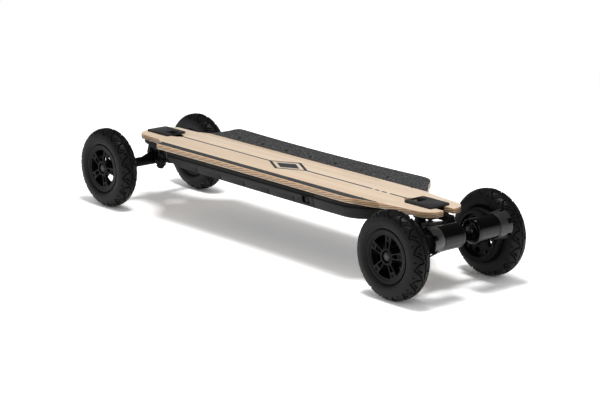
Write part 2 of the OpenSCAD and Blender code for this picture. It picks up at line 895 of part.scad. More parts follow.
// A kingpin with its head, its two washers and its nut
nut_h = 8.3;
nut_from = seat_z + fit;
module kingpin(from, to) {
    cylinder_z(kingpin_r, -nut_from - nut_h, from + cut);
    translate([0, 0, from]) hex(head_af, to - from);
    translate([0, 0, -nut_from - nut_h]) difference() {
        hex(head_af, nut_h);
        translate([0, 0, -cut]) cylinder(r = kingpin_r + fit, h = nut_h + 2 * cut);
    }
    for (z = [ring_half + bushing_h, -ring_half - bushing_h - washer_t])
        translate([0, 0, z]) difference() {
            cylinder(r = bushing_r + 0.5, h = washer_t);
            translate([0, 0, -cut]) cylinder(r = kingpin_r + fit, h = washer_t + 2 * cut);
        }
}

module cylinder_z(r, from, to) {
    translate([0, 0, from]) cylinder(r = r, h = to - from);
}

module base_kingpins() {
    color(steel) for (front = [true, false])
        at_truck(front) at_upper() kingpin(head_from + fit, head_from + 7);
}

// Two bushings on one kingpin, thicker next to the ring
module bushings() {
    for (side = [0, 1])
        mirror([0, 0, side]) rotate_extrude() polygon([
            [kingpin_r + 0.1, ring_half + fit], [bushing_r, ring_half + fit],
            [bushing_r, ring_half + 3], [bushing_r - 1.5, ring_half + bushing_h - fit],
            [kingpin_r + 0.1, ring_half + bushing_h - fit]
        ]);
}

module base_bushings(front) {
    color("#b8b4a6") at_truck(front) at_upper() bushings();
}

module hanger_bushings(front) {
    color("#b8b4a6") at_truck(front) at_lower() bushings();
}

// The link swings on the upper joint and carries the lower one
link_half = 10;
link_seat = seat_z;
link_top = 24;
leg_in = 35.5;
leg_out = 44;
post_in = 60;
post_out = 71;
// A point of the lower joint's frame, in the truck's X and Z
function lower(x, z) = [-lower_in + x * cos(lower_tilt) - z * sin(lower_tilt),
                        lower_up + x * sin(lower_tilt) + z * cos(lower_tilt)];
function upper(x, z) = [-upper_in + x * cos(upper_tilt) - z * sin(upper_tilt),
                        upper_up + x * sin(upper_tilt) + z * cos(upper_tilt)];

module link(front) {
    color(alloy) at_truck(front) difference() {
        union() {
            at_upper() cylinder_z(ring_r, -ring_half, ring_half);
            across(link_half) polygon([
                upper(11, -ring_half + 0.6), upper(ring_r + 1, -ring_half + 0.6),
                lower(-11, link_seat), lower(13, link_seat), lower(13, 11),
                lower(leg_in, 11), lower(leg_in, -9), lower(leg_out, -9),
                upper(post_out, 0), upper(post_out, 6.5), upper(post_in, 6.5),
                upper(46, 5), upper(30, ring_half), upper(11, ring_half)
            ]);
            at_lower() cylinder_z(boss_r, link_seat, link_top);
            at_lower() rod_x(9, leg_in, leg_out);
            at_upper() rod_x(7, post_in, post_out);
            at_lower() rod_x(pivot_r, 20.4, leg_in + cut);
            at_upper() rod_x(pivot_r, post_out - cut, cup_to - 1.2);
        }
        at_upper() cylinder_z(ring_hole_r, -ring_half - cut, ring_half + cut);
        at_upper() cylinder_z(bushing_r + 1.5, -40, -ring_half - fit);
        at_lower() cylinder_z(kingpin_r + fit, 0, link_top + cut);
        at_lower() cylinder_z(head_af / 2 / cos(30) + 0.6, link_top, link_top + 20);
        at_lower() cylinder_z(ring_r + 1, -30, link_seat - fit);
    }
}

module hanger_kingpin(front) {
    color(steel) at_truck(front) at_lower() kingpin(link_top, link_top + 6);
}

// The hanger: a ring for the kingpin, a cup for the link's pin and the axle's beam
hanger_cup_in = 14;
hanger_cup_out = 34;
hanger_cup_r = 9.5;
web_y = 45;
module hanger(front, beam_y) {
    straight_y = beam_y - 16;
    color(alloy) at_truck(front) difference() {
        union() {
            at_lower() cylinder_z(ring_r, -ring_half, ring_half);
            at_lower() rod_x(hanger_cup_r, hanger_cup_in, hanger_cup_out);
            rod_y(beam_r, -web_y, web_y);
            for (side = [-1, 1])
                rotate([0, 0, side > 0 ? 0 : 180]) {
                    translate([0, web_y, 0]) rotate([-90, 0, 0])
                        cylinder(r1 = beam_r, r2 = beam_end_r, h = straight_y - web_y);
                    rod_y(beam_end_r, straight_y, beam_y);
                }
            translate([-9, 0, 0]) rotate([90, 0, 90]) linear_extrude(11) polygon([
                [-web_y, -6], [-web_y, 7], [-9, 20], [9, 20], [web_y, 7], [web_y, -6]
            ]);
            across(8) polygon([lower(10, -ring_half), lower(24, -9), [0, -6], [-9, -6]]);
        }
        at_lower() cylinder_z(ring_hole_r, -30, 30);
        at_lower() rod_x(pivot_r + fit, 20, hanger_cup_out + cut);
        at_lower() cylinder_z(bushing_r + 1.5, ring_half + fit, 30);
        at_lower() cylinder_z(bushing_r + 1.5, -40, -ring_half - fit);
        rod_y(axle_r + fit, -beam_y - cut, beam_y + cut);
    }
}

// Wheels
function track(front) = front ? front_track : rear_track;
nut_y = bearing_y + bearing_w + fit;
module axle(front) {
    end_y = track(front) / 2 + nut_y + axle_nut_h + axle_end;
    color(steel) at_truck(front) rod_y(axle_r, -end_y, end_y);
}

// Nuts outside the wheels, and the sleeves that space the bearings
module axle_nuts(front) {
    beam_y = front ? front_beam_y : rear_beam_y;
    color(steel) at_truck(front) for (side = [0, 1])
        mirror([0, side, 0]) {
            wheel_y = track(front) / 2;
            difference() {
                translate([0, wheel_y + nut_y, 0]) rotate([-90, 0, 0]) hex(axle_nut_af, axle_nut_h);
                rod_y(axle_r + fit, wheel_y, wheel_y + 2 * nut_y + axle_nut_h);
            }
            sleeve(sleeve_r, beam_y + fit, wheel_y - nut_y);
            sleeve(sleeve_r, wheel_y - bearing_y + fit, wheel_y + bearing_y - fit);
        }
}

sleeve_r = 8.2;
module sleeve(r, from, to) {
    difference() {
        rod_y(r, from, to);
        rod_y(axle_r + fit, from - cut, to + cut);
    }
}

// Places a wheel's children so that their +Y points away from the board
module at_wheel(corner) {
    front = corner[0] == "f";
    left = corner == "front_left" || corner == "rear_left";
    translate([front ? -half_base : half_base, 0, axle_z]) mirror([0, left ? 1 : 0, 0])
        translate([0, track(front) / 2, 0]) children();
}

bulge_r = 66;
function crown_r(y) = tyre_d / 2 - (tyre_d / 2 - shoulder_r) * pow(y / shoulder_y, 2.6);
module tyre(corner) {
    half = tyre_w / 2;
    bead_r = barrel_r + 0.3;
    lip_y = rim_y - flange_t - 0.1;
    outer = tyre_d / 2;
    right = concat([
        [bead_r, lip_y - 5], [bead_r, lip_y], [flange_r + 0.3, lip_y],
        [flange_r + 0.5, rim_y - 0.2], [flange_r + 3.5, half - 1.2], [bulge_r - 4, half - 0.2],
        [bulge_r + 1, half], [bulge_r + 6, half - 0.6], [shoulder_r - 2.5, shoulder_y + 1.2],
        [shoulder_r - 0.7, shoulder_y + 0.7], [shoulder_r, shoulder_y]
    ], [for (y = [17.5, 15, 12, 8, 4]) [crown_r(y), y]]);
    inside = [
        [outer - tread_t, 3], [outer - tread_t - 1, 9], [shoulder_r - 3, shoulder_y - tyre_wall],
        [bulge_r + 1, half - tyre_wall], [flange_r + 5, half - tyre_wall - 1],
        [flange_r + 1, lip_y - 3.5]
    ];
    color(rubber) at_wheel(corner) rotate([-90, 0, 0]) difference() {
        rotate_extrude($fn = 96) polygon(concat(right, mirrored(right)));
        rotate_extrude($fn = 96) polygon(concat(inside, [[barrel_r - 2, lip_y - 5]],
            mirrored(concat(inside, [[barrel_r - 2, lip_y - 5]]))));
        for (i = [0 : tread_count - 1], side = [0, 1])
            rotate([0, 0, tread_phase - (i + side / 2) * 360 / tread_count])
                mirror([0, 0, side]) tread_block();
    }
}

// The grooves of one block: a V whose point runs out over the shoulder, and a dash in it.
// Angles are shares of the step from block to block
tread_phase = -7;
module tread_block() {
    step = 360 / tread_count;
    groove([0.39 * step, 6], [-0.02 * step, shoulder_y + 0.6]);
    groove([-0.39 * step, 8], [0.03 * step, shoulder_y + 0.4]);
    groove([-0.06 * step, 14], [0.09 * step, 8.2]);
}

// A straight groove between two points, each an angle round the wheel and a distance
// from its middle
module groove(from, to) {
    around = tyre_d / 2 * sin(to[0] - from[0]);
    run = norm([around, to[1] - from[1]]);
    outer = tyre_d / 2 + cut;
    rotate([0, 0, -(from[0] + to[0]) / 2]) translate([0, 0, (from[1] + to[1]) / 2])
        rotate([atan2(around, to[1] - from[1]), 0, 0]) translate([0, tread_w / 2, 0])
            rotate([90, 0, 0]) linear_extrude(tread_w) polygon([
                [crown_r(from[1]) - tread_depth, -run / 2], [outer, -run / 2],
                [outer, run / 2], [crown_r(to[1]) - tread_depth, run / 2]
            ]);
}

// The same points on the other side, in turned order
function mirrored(points) = [for (i = [len(points) - 1 : -1 : 0]) [points[i][0], -points[i][1]]];

hub_proud = 0.6;
face_y = rim_y - spoke_inset;
pad_y = face_y - spoke_t;
function spoke_angle(front, i) = -(front ? front_spoke_phase : rear_spoke_phase)
    - i * 360 / spoke_count;
module rim(corner, outer) {
    front = corner[0] == "f";
    color(alloy) at_wheel(corner) mirror([0, outer ? 0 : 1, 0]) rotate([-90, 0, 0])
        difference() {
            union() {
                rotate_extrude($fn = 96) polygon([
                    [barrel_r - barrel_t, 0], [barrel_r, 0], [barrel_r, rim_y - flange_t],
                    [flange_r, rim_y - flange_t], [flange_r, rim_y - 0.6],
                    [flange_r - 0.6, rim_y], [barrel_r - barrel_t + 0.8, rim_y],
                    [barrel_r - barrel_t, rim_y - 0.8]
                ]);
                cylinder(r = hub_r, h = face_y + hub_proud);
                translate([0, 0, pad_y]) linear_extrude(spoke_t)
                    rotate(spoke_angle(front, 0)) rim_face();
                for (i = [0 : spoke_count - 1])
                    rotate([0, 0, spoke_angle(front, i)]) translate([bolt_circle_r, 0, 0])
                        cylinder(r = hub_bolt_boss_r, h = pad_y + cut);
            }
            cylinder_z(bearing_r + fit, bearing_y, rim_y + cut);
            cylinder_z(bearing_r - bearing_step, -cut, rim_y);
            for (i = [0 : spoke_count - 1])
                rotate([0, 0, spoke_angle(front, i)]) translate([bolt_circle_r, 0, 0]) {
                    cylinder_z(hub_bolt_r + fit, -cut, rim_y);
                    cylinder_z(hub_bolt_head_r + 0.5, pad_y, rim_y + cut);
                }
        }
}

// The pierced face of a rim: double spokes with a slot in each, and windows between them
bearing_step = 2.5;
window_r = barrel_r - barrel_t - ring_w;
slot_r = bolt_circle_r - hub_bolt_boss_r - 0.6;
function half_spoke(r) = spoke_root + (spoke_spread - spoke_root) * (r - hub_r) / (window_r - hub_r);
module rim_face() {
    inner = hub_r + 2;
    difference() {
        circle(barrel_r - barrel_t + 1);
        for (i = [0 : spoke_count - 1])
            rotate(i * 360 / spoke_count) {
                polygon(rounded([
                    [inner, spoke_rib - half_spoke(inner)], [slot_r, spoke_rib - half_spoke(slot_r)],
                    [slot_r, half_spoke(slot_r) - spoke_rib], [inner, half_spoke(inner) - spoke_rib]
                ], 1.2, 2));
                rotate(180 / spoke_count) polygon(window());
            }
    }
}

// Between the sides of two neighbouring spokes, with the ring and the hub at its ends
function window() = let (
    half = 180 / spoke_count,
    inner = hub_r + 1.8,
    a = half - asin(half_spoke(window_r) / window_r),
    b = half - asin(half_spoke(inner) / inner)
) rounded(concat(
    [for (i = [-3 : 3]) window_r * [cos(a * i / 3), sin(a * i / 3)]],
    [for (i = [1 : -1 : -1]) inner * [cos(b * i), sin(b * i)]]), 3.4, 3);

// An outline with each corner replaced by a curve that starts at most a radius away
function rounded(points, r, steps) = [for (i = [0 : len(points) - 1], k = [0 : steps])
    let (
        p = points[i],
        a = points[(i + len(points) - 1) % len(points)] - p,
        b = points[(i + 1) % len(points)] - p,
        from = p + a / norm(a) * min(r, norm(a) / 2.2),
        to = p + b / norm(b) * min(r, norm(b) / 2.2),
        t = k / steps
    ) from * pow(1 - t, 2) + p * 2 * t * (1 - t) + to * t * t];

// Bolts through both halves of the rim. The rear ones also carry the wheel pulley
module hub_bolts(corner) {
    front = corner[0] == "f";
    back = front ? pad_y : pulley_web_y;
    color(steel) at_wheel(corner) for (i = [0 : spoke_count - 1])
        rotate([0, spoke_angle(front, i), 0]) translate([bolt_circle_r, 0, 0]) {
            rod_y(hub_bolt_r, -back - hub_bolt_head_h, pad_y + fit);
            difference() {
                rod_y(hub_bolt_head_r, pad_y, pad_y + hub_bolt_head_h);
                translate([0, pad_y + hub_bolt_head_h - 2, 0]) rotate([-90, 0, 0])
                    hex(hub_bolt_head_r, 2 + cut);
            }
            difference() {
                translate([0, -back, 0]) rotate([90, 0, 0])
                    hex(2 * hub_bolt_head_r - 0.4, hub_bolt_head_h);
                rod_y(hub_bolt_r + fit, -back - 2 * hub_bolt_head_h, 0);
            }
        }
}

module bearings(corner) {
    race = 2;
    color(steel) at_wheel(corner) for (side = [0, 1])
        mirror([0, side, 0]) difference() {
            rod_y(bearing_r, bearing_y, bearing_y + bearing_w);
            rod_y(axle_r + fit, 0, 2 * bearing_y + bearing_w);
            difference() {
                rod_y(bearing_r - race, bearing_y + bearing_w - 1, bearing_y + bearing_w + cut);
                rod_y(axle_r + race + 1, 0, bearing_y + bearing_w + 2 * cut);
            }
        }
}

// Drive. The belt's pitch line runs through its cords, and a pulley's edge lies inside it
cord_depth = 0.571;
tooth_r = 1.5;
tooth_in = 1.13;
tooth_gap = 0.2;
belt_back = 1.17;
wheel_pitch_r = wheel_teeth * belt_pitch / 2 / PI;
motor_pitch_r = motor_teeth * belt_pitch / 2 / PI;
function belt_angle(c) = asin((wheel_pitch_r - motor_pitch_r) / c);
function belt_length(c) = 2 * sqrt(c * c - pow(wheel_pitch_r - motor_pitch_r, 2))
    + PI * (wheel_pitch_r + motor_pitch_r)
    + (wheel_pitch_r - motor_pitch_r) * belt_angle(c) * PI / 90;
// Halves the interval until the belt fits
function solve_centres(low, high, turns) = turns == 0 ? (low + high) / 2
    : belt_length((low + high) / 2) < belt_teeth * belt_pitch
        ? solve_centres((low + high) / 2, high, turns - 1)
        : solve_centres(low, (low + high) / 2, turns - 1);
centres = solve_centres(wheel_pitch_r, 3 * wheel_pitch_r, 40);
wrap = belt_angle(centres);
straight = sqrt(pow(centres, 2) - pow(wheel_pitch_r - motor_pitch_r, 2));
wheel_arc = wheel_pitch_r * (90 + wrap) * PI / 180;
normal = [sin(wrap), cos(wrap)];

// A point at a distance along the belt from the back of the wheel pulley, and inwards
// of the pitch line
function belt_point(s, inward) = s < wheel_arc
    ? (wheel_pitch_r - inward) * [cos(180 - s / wheel_pitch_r * 180 / PI),
                                  sin(180 - s / wheel_pitch_r * 180 / PI)]
    : s < wheel_arc + straight
        ? (wheel_pitch_r - inward) * normal
            + (s - wheel_arc) * [normal[1], -normal[0]]
        : let (t = 90 - wrap - (s - wheel_arc - straight) / motor_pitch_r * 180 / PI)
            [centres, 0] + (motor_pitch_r - inward) * [cos(t), sin(t)];

// The loop at a distance outside the pitch line. Its straight runs sag a little, so
// they cross the round ends
run_sag = 0.02;
module belt_loop(out) {
    big = (wheel_pitch_r + out - run_sag) * normal;
    small = (motor_pitch_r + out - run_sag) * normal;
    circle(wheel_pitch_r + out);
    translate([centres, 0]) circle(motor_pitch_r + out);
    polygon([
        big, [centres, 0] + small, [centres + small[0], -small[1]], [big[0], -big[1]]
    ]);
}

// Drive frame: the axle at the origin, X towards the motor, Z away from the board
module at_drive(left, y) {
    at_truck(false) mirror([0, left ? 1 : 0, 0]) translate([0, y, 0])
        rotate([-90, 0, 0]) rotate([0, 0, -motor_deg]) children();
}

module belt(left) {
    color(rubber) at_drive(left, belt_y) {
        linear_extrude(belt_w) difference() {
            belt_loop(belt_back);
            belt_loop(-cord_depth);
        }
        for (i = [0 : belt_teeth / 2], side = [0, 1])
            if (side == 0 || (i > 0 && i < belt_teeth / 2))
                mirror([0, side, 0]) belt_tooth(i * belt_pitch);
    }
}

module belt_tooth(s) {
    place = belt_point(s, tooth_in);
    translate([place[0], place[1], 0]) cylinder(r = tooth_r, h = belt_w, $fn = 24);
}

// A toothed pulley, with a groove for each tooth of the belt
module toothed(teeth, pitch_r, h, first) {
    difference() {
        cylinder(r = pitch_r - cord_depth - fit, h = h);
        for (i = [0 : teeth - 1])
            rotate([0, 0, first + i * 360 / teeth]) translate([pitch_r - tooth_in, 0, -cut])
                cylinder(r = tooth_r + tooth_gap, h = h + 2 * cut, $fn = 24);
    }
}

pulley_y = belt_y - 1;
pulley_w = belt_w + 1.5;
pulley_web_t = 4;
pulley_web_y = rear_track / 2 - pulley_y - pulley_w + pulley_web_t + 1;
pulley_rim_r = wheel_pitch_r - 8;
module wheel_pulley(left) {
    wheel_y = rear_track / 2;
    web_z = wheel_y - pulley_web_y - pulley_y;
    color(alloy) at_drive(left, pulley_y) difference() {
        union() {
            difference() {
                toothed(wheel_teeth, wheel_pitch_r, pulley_w, 180);
                cylinder_z(pulley_rim_r, -cut, pulley_w + cut);
            }
            cylinder_z(pulley_rim_r + 2, web_z, web_z + pulley_web_t);
            for (i = [0 : spoke_count - 1])
                rotate([0, 0, motor_deg + spoke_angle(false, i)])
                    translate([bolt_circle_r, 0, 0])
                        cylinder_z(hub_bolt_boss_r - 0.9, web_z + 1, wheel_y - pulley_y - face_y - fit);
        }
        cylinder_z(22, -cut, pulley_w + 30);
        for (i = [0 : spoke_count - 1])
            rotate([0, 0, motor_deg + spoke_angle(false, i)]) {
                translate([bolt_circle_r, 0, -cut]) cylinder(r = hub_bolt_r + fit, h = 60);
                rotate([0, 0, 180 / spoke_count]) translate([33, 0, -cut])
                    cylinder(r = 7, h = pulley_w + 2);
            }
    }
}

// The mount: a clamp on the hanger's beam, a plate for the motor and a guard that is
// open towards the wheel pulley
clamp_r = 15;
guard_end_y = belt_y + belt_w - 2;
notch_w = 10;
screw_ring_r = 15;
motor_screw_r = 2;
module motor_mount(left) {
    guard_h = guard_end_y - motor_face_y;
    color(alloy) at_drive(left, motor_face_y) difference() {
        union() {
            cylinder(r = clamp_r, h = mount_t);
            linear_extrude(mount_t) polygon([
                [0, clamp_r], [centres, 20], [centres, -20], [0, -clamp_r]
            ]);
            translate([centres, 0, 0]) {
                cylinder(r = motor_r + 0.5, h = mount_t);
                difference() {
                    cylinder(r1 = motor_r + 0.9, r2 = guard_r, h = guard_h);
                    translate([0, 0, mount_t]) cylinder(r1 = motor_r + 0.9 - guard_t
                        + (guard_r - motor_r) * mount_t / guard_h, r2 = guard_r - guard_t,
                        h = guard_h - mount_t + 0.01);
                    guard_opening(guard_h);
                }
            }
        }
        cylinder_z(beam_end_r + fit, -cut, mount_t + cut);
        translate([-clamp_r - cut, -1, -cut]) cube([clamp_r, 2, mount_t + 2 * cut]);
        translate([centres, 0, 0]) {
            cylinder_z(motor_boss_r + fit, -cut, mount_t + cut);
            for (a = [45 : 90 : 315])
                rotate([0, 0, a]) translate([screw_ring_r, 0, -cut])
                    cylinder(r = motor_screw_r + fit, h = mount_t + 2 * cut);
        }
    }
}

// The side towards the axle is open, and three notches are cut in the outer end
module guard_opening(guard_h) {
    far = 60;
    translate([0, 0, mount_t]) linear_extrude(guard_h) polygon([
        [0, 0], far * [cos(105), sin(105)], [-far, far], [-far, -far], far * [cos(105), -sin(105)]
    ]);
    for (a = [-60, 0, 60])
        rotate([0, 0, a + motor_deg - 27]) translate([0, -notch_w / 2, guard_h - notch_w])
            cube([far, notch_w, notch_w + cut]);
}

motor_boss_r = 11;
can_t = 2.5;
module motor_case(left) {
    h = motor_face_y - motor_in_y;
    color("#232527") at_drive(left, motor_in_y) translate([centres, 0, 0]) difference() {
        union() {
            rotate_extrude($fn = 96) polygon([
                [0, 0], [motor_r - 1.5, 0], [motor_r, 1.5], [motor_r, h], [0, h]
            ]);
            cylinder(r = motor_boss_r, h = h + 2);
        }
        rotate_extrude($fn = 96) polygon([
            [0, 3], [motor_r - can_t, 3], [motor_r - can_t, h - 8], [0, h - 8]
        ]);
        cylinder_z(shaft_r + fit, 2, h + 10);
        for (a = [45 : 90 : 315])
            rotate([0, 0, a]) translate([screw_ring_r, 0, h - 6])
                cylinder(r = motor_screw_r + fit, h = 6 + cut);
    }
}

// Shaft, drum and toothed pulley, which turn together
module motor_rotor(left) {
    h = motor_face_y - motor_in_y;
    shaft_from = 3.2;
    pulley_from = pulley_y - motor_in_y;
    color("#8a8d90") at_drive(left, motor_in_y) translate([centres, 0, 0]) {
        cylinder_z(shaft_r, shaft_from, pulley_from + pulley_w);
        difference() {
            cylinder_z(motor_r - can_t - gap, 4, h - 9);
            cylinder_z(shaft_r + fit, 0, h);
        }
        difference() {
            translate([0, 0, pulley_from]) toothed(motor_teeth, motor_pitch_r, pulley_w, 0);
            cylinder_z(shaft_r + fit, pulley_from - cut, pulley_from + pulley_w + cut);
        }
    }
}

module motor_screws() {
    color(steel) for (left = [true, false])
        at_drive(left, motor_face_y) translate([centres, 0, 0])
            for (a = [45 : 90 : 315])
                rotate([0, 0, a]) translate([screw_ring_r, 0, 0]) {
                    cylinder_z(motor_screw_r, -5.5, mount_t + fit);
                    difference() {
                        cylinder_z(motor_screw_r + 1.5, mount_t, mount_t + 3);
                        translate([0, 0, mount_t + 1.5]) hex(motor_screw_r + 1, 1.5 + cut);
                    }
                }
}

deck();
grip_tape();
battery_enclosure();
electronics_enclosure();
enclosure_seal();
enclosure_screws();
battery_cells();
battery_board();
motor_controller();
charging_socket();
power_button();
top_plates();
truck_bases();
base_bolts();
base_kingpins();
base_bushings(true);  // front_base_bushings
base_bushings(false);  // rear_base_bushings
link(true);  // front_link
link(false);  // rear_link
hanger_kingpin(true);  // front_hanger_kingpin
hanger_kingpin(false);  // rear_hanger_kingpin
hanger_bushings(true);  // front_hanger_bushings
hanger_bushings(false);  // rear_hanger_bushings
hanger(true, front_beam_y);  // front_hanger
hanger(false, rear_beam_y);  // rear_hanger
axle(true);  // front_axle
axle(false);  // rear_axle
axle_nuts(true);  // front_axle_nuts
axle_nuts(false);  // rear_axle_nuts
for (corner = corners) {
    tyre(corner);
    rim(corner, true);
    rim(corner, false);
    hub_bolts(corner);
    bearings(corner);
}
wheel_pulley(true);  // left_wheel_pulley
wheel_pulley(false);  // right_wheel_pulley
belt(true);  // left_belt
belt(false);  // right_belt
motor_mount(true);  // left_motor_mount
motor_mount(false);  // right_motor_mount
motor_case(true);  // left_motor_case
motor_case(false);  // right_motor_case
motor_rotor(true);  // left_motor_rotor
motor_rotor(false);  // right_motor_rotor
motor_screws();
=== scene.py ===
import json
import math

import bmesh
import bpy
from bpy.props import FloatProperty, FloatVectorProperty, IntProperty, PointerProperty
from mathutils import Matrix, Vector


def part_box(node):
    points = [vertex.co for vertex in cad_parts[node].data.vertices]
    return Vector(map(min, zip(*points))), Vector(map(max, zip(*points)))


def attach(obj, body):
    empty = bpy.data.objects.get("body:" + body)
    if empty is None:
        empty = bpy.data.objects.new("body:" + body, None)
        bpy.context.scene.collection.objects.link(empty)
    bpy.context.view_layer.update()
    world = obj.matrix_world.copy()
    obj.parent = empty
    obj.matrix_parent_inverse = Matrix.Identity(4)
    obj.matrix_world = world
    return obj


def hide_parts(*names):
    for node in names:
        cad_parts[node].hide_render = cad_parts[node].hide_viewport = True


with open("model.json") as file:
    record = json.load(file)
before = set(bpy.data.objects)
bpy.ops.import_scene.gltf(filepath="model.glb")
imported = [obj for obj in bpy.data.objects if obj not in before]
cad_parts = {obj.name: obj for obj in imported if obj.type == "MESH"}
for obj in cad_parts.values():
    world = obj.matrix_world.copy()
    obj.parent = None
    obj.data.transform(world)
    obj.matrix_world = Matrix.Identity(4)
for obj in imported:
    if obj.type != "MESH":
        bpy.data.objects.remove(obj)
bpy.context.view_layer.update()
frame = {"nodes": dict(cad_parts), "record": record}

bl_info = {
    "name": "Mountainboard Finisher",
    "version": (1, 0, 0),
    "blender": (4, 5, 0),
    "location": "3D View > Sidebar > Mountainboard",
    "description": "Shapes and finishes an electric mountainboard around its packed frame",
    "category": "Object",
}

MM = 0.001
MERGE = 0.002 * MM        # points this close become one
FLAT = math.radians(0.4)  # edges flatter than this are dissolved
SHARP = math.radians(30)  # edges sharper than this are rounded, or shaded sharp
TREAD_RADIUS = 86 * MM    # where the tread's grooves are laid out
TREAD_BOTTOM = 78.5 * MM  # nothing is pressed in below this radius
RIM_BORE = 45.5 * MM      # inner radius of a rim's barrel
HUB_WALL = 3 * MM         # round a wheel's bearings
BOLT_WELL = 4 * MM        # radius of the well that a hub bolt's head sits in
WHITE = (1, 1, 1, 1)
# Near black: the painted shade on the walls of the truck slots under the plates
SLOT_SHADE = (0.004, 0.004, 0.004, 1)
CORNERS = ("front_left", "front_right", "rear_left", "rear_right")
SIDES = ("left", "right")
ENDS = ("front", "rear")


# Frame

def body_of(node):
    """The body that a packed node rides on."""
    for body, members in frame["record"]["behaviour"]["bodies"].items():
        if node in members:
            return body
    raise ValueError(f"no body holds {node}")


def centre_of(node):
    """The middle of a packed node's box."""
    low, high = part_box(node)
    return (low + high) / 2


def sideways(name):
    """The turn of a wheel or motor: Z away from the board, X to the tail, Y down."""
    side = -1 if "left" in name else 1
    return Matrix(((1, 0, 0), (0, 0, side), (0, -1, 0))).to_4x4()


def wheel_place(corner):
    """A wheel's own frame, in the middle of its tyre."""
    return Matrix.Translation(centre_of(f"{corner}_tyre")) @ sideways(corner)


def motor_place(node):
    """A motor's own frame: Z from its inner end towards its mount."""
    middle = centre_of(node)
    low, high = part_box(node)
    inner = high.y if "left" in node else low.y
    return Matrix.Translation((middle.x, inner, middle.z)) @ sideways(node)


# Mesh tools

def merged(node):
    """A copy of a packed node's mesh with its loose triangles joined into faces."""
    bm = bmesh.new()
    bm.from_mesh(frame["nodes"][node].data)
    bmesh.ops.remove_doubles(bm, verts=bm.verts, dist=MERGE)
    bmesh.ops.dissolve_limit(bm, angle_limit=FLAT, verts=bm.verts, edges=bm.edges)
    return bm


def bevelled(bm, width, segments=2, wanted=None):
    """Rounds the sharp edges, or those among them that are wanted."""
    edges = [e for e in bm.edges if e.is_manifold and e.calc_face_angle() > SHARP]
    if wanted:
        edges = [e for e in edges if wanted(e)]
    bmesh.ops.bevel(bm, geom=edges, offset=width, offset_type="OFFSET", segments=segments,
                    profile=0.5, affect="EDGES", clamp_overlap=True, material=-1)
    return bm


def piece(name, bm, material, body, replaced=()):
    """A finished piece that rides on a body and stands for packed nodes."""
    mesh = bpy.data.meshes.new(name)
    bm.to_mesh(mesh)
    bm.free()
    mesh.materials.append(material)
    mesh.shade_smooth()
    mesh.set_sharp_from_angle(angle=SHARP)
    made = bpy.data.objects.new(name, mesh)
    bpy.context.scene.collection.objects.link(made)
    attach(made, body)
    if replaced:
        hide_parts(*replaced)
    return made


def refined(node, width, material, segments=2, wanted=None):
    """A packed node's own shape with its edges rounded."""
    bm = bevelled(merged(node), width, segments, wanted)
    return piece(f"{node}_shaped", bm, material, body_of(node), [node])


def finished(node, material):
    """A packed node keeps its shape and gets a better material."""
    mesh = frame["nodes"][node].data
    mesh.materials.clear()
    mesh.materials.append(material)


def placed(bm, matrix):
    """Moves a mesh, and turns its faces back when the move mirrors it."""
    bmesh.ops.transform(bm, matrix=matrix, verts=bm.verts)
    if matrix.determinant() < 0:
        bmesh.ops.reverse_faces(bm, faces=bm.faces)
    return bm


def joined(parts):
    """One mesh from several, which it frees."""
    whole = bmesh.new()
    for part in parts:
        mesh = bpy.data.meshes.new("part")
        part.to_mesh(mesh)
        part.free()
        whole.from_mesh(mesh)
        bpy.data.meshes.remove(mesh)
    return whole


def islands(node):
    """The loose parts of a packed node, each as a list of its corner points."""
    bm = merged(node)
    found, seen = [], set()
    for first in bm.verts:
        if first in seen:
            continue
        stack, part = [first], []
        seen.add(first)
        while stack:
            vert = stack.pop()
            part.append(vert.co.copy())
            for edge in vert.link_edges:
                other = edge.other_vert(vert)
                if other not in seen:
                    seen.add(other)
                    stack.append(other)
        found.append(part)
    bm.free()
    return found


def centre_of_island(points):
    """The middle of the box round some points."""
    low = Vector(map(min, zip(*points)))
    high = Vector(map(max, zip(*points)))
    return (low + high) / 2


def spun(profile, steps):
    """A closed outline of radius and height, turned about Z."""
    bm = bmesh.new()
    verts = [bm.verts.new((r, 0, z)) for r, z in profile]
    edges = [bm.edges.new(pair) for pair in zip(verts, verts[1:] + verts[:1])]
    bmesh.ops.spin(bm, geom=verts + edges, axis=(0, 0, 1), cent=(0, 0, 0),
                   angle=math.tau, steps=steps, use_merge=True, use_duplicate=False)
    bmesh.ops.remove_doubles(bm, verts=bm.verts, dist=MERGE)
    bmesh.ops.recalc_face_normals(bm, faces=bm.faces)
    return bm


def polar(radius, degrees):
    """A point in the plane, from its radius and direction."""
    return Vector((radius * math.cos(math.radians(degrees)),
                   radius * math.sin(math.radians(degrees))))


def arc(radius, start, end, steps, centre=(0, 0)):
    """Points on an arc, in degrees, both ends included."""
    return [Vector(centre) + polar(radius, start + (end - start) * i / steps)
            for i in range(steps + 1)]


def circle(radius, steps, centre=(0, 0)):
    """Points on a circle, each once."""
    return arc(radius, 0, 360, steps, centre)[:-1]


def turned(points, degrees):
    """The points of an outline, turned about the middle."""
    turn = Matrix.Rotation(math.radians(degrees), 2)
    return [turn @ Vector(p) for p in points]


def rounded(points, radius, steps=4):
    """An outline with each corner replaced by a curve that starts a radius away."""
    out = []
    previous, following = points[-1:] + points[:-1], points[1:] + points[:1]
    for before, corner, after in zip(previous, points, following):
        reach = min(radius, (before - corner).length / 2.1, (after - corner).length / 2.1)
        start = corner + (before - corner).normalized() * reach
        end = corner + (after - corner).normalized() * reach
        for i in range(steps + 1):
            t = i / steps
            out.append(start * (1 - t) ** 2 + corner * 2 * t * (1 - t) + end * t * t)
    return out


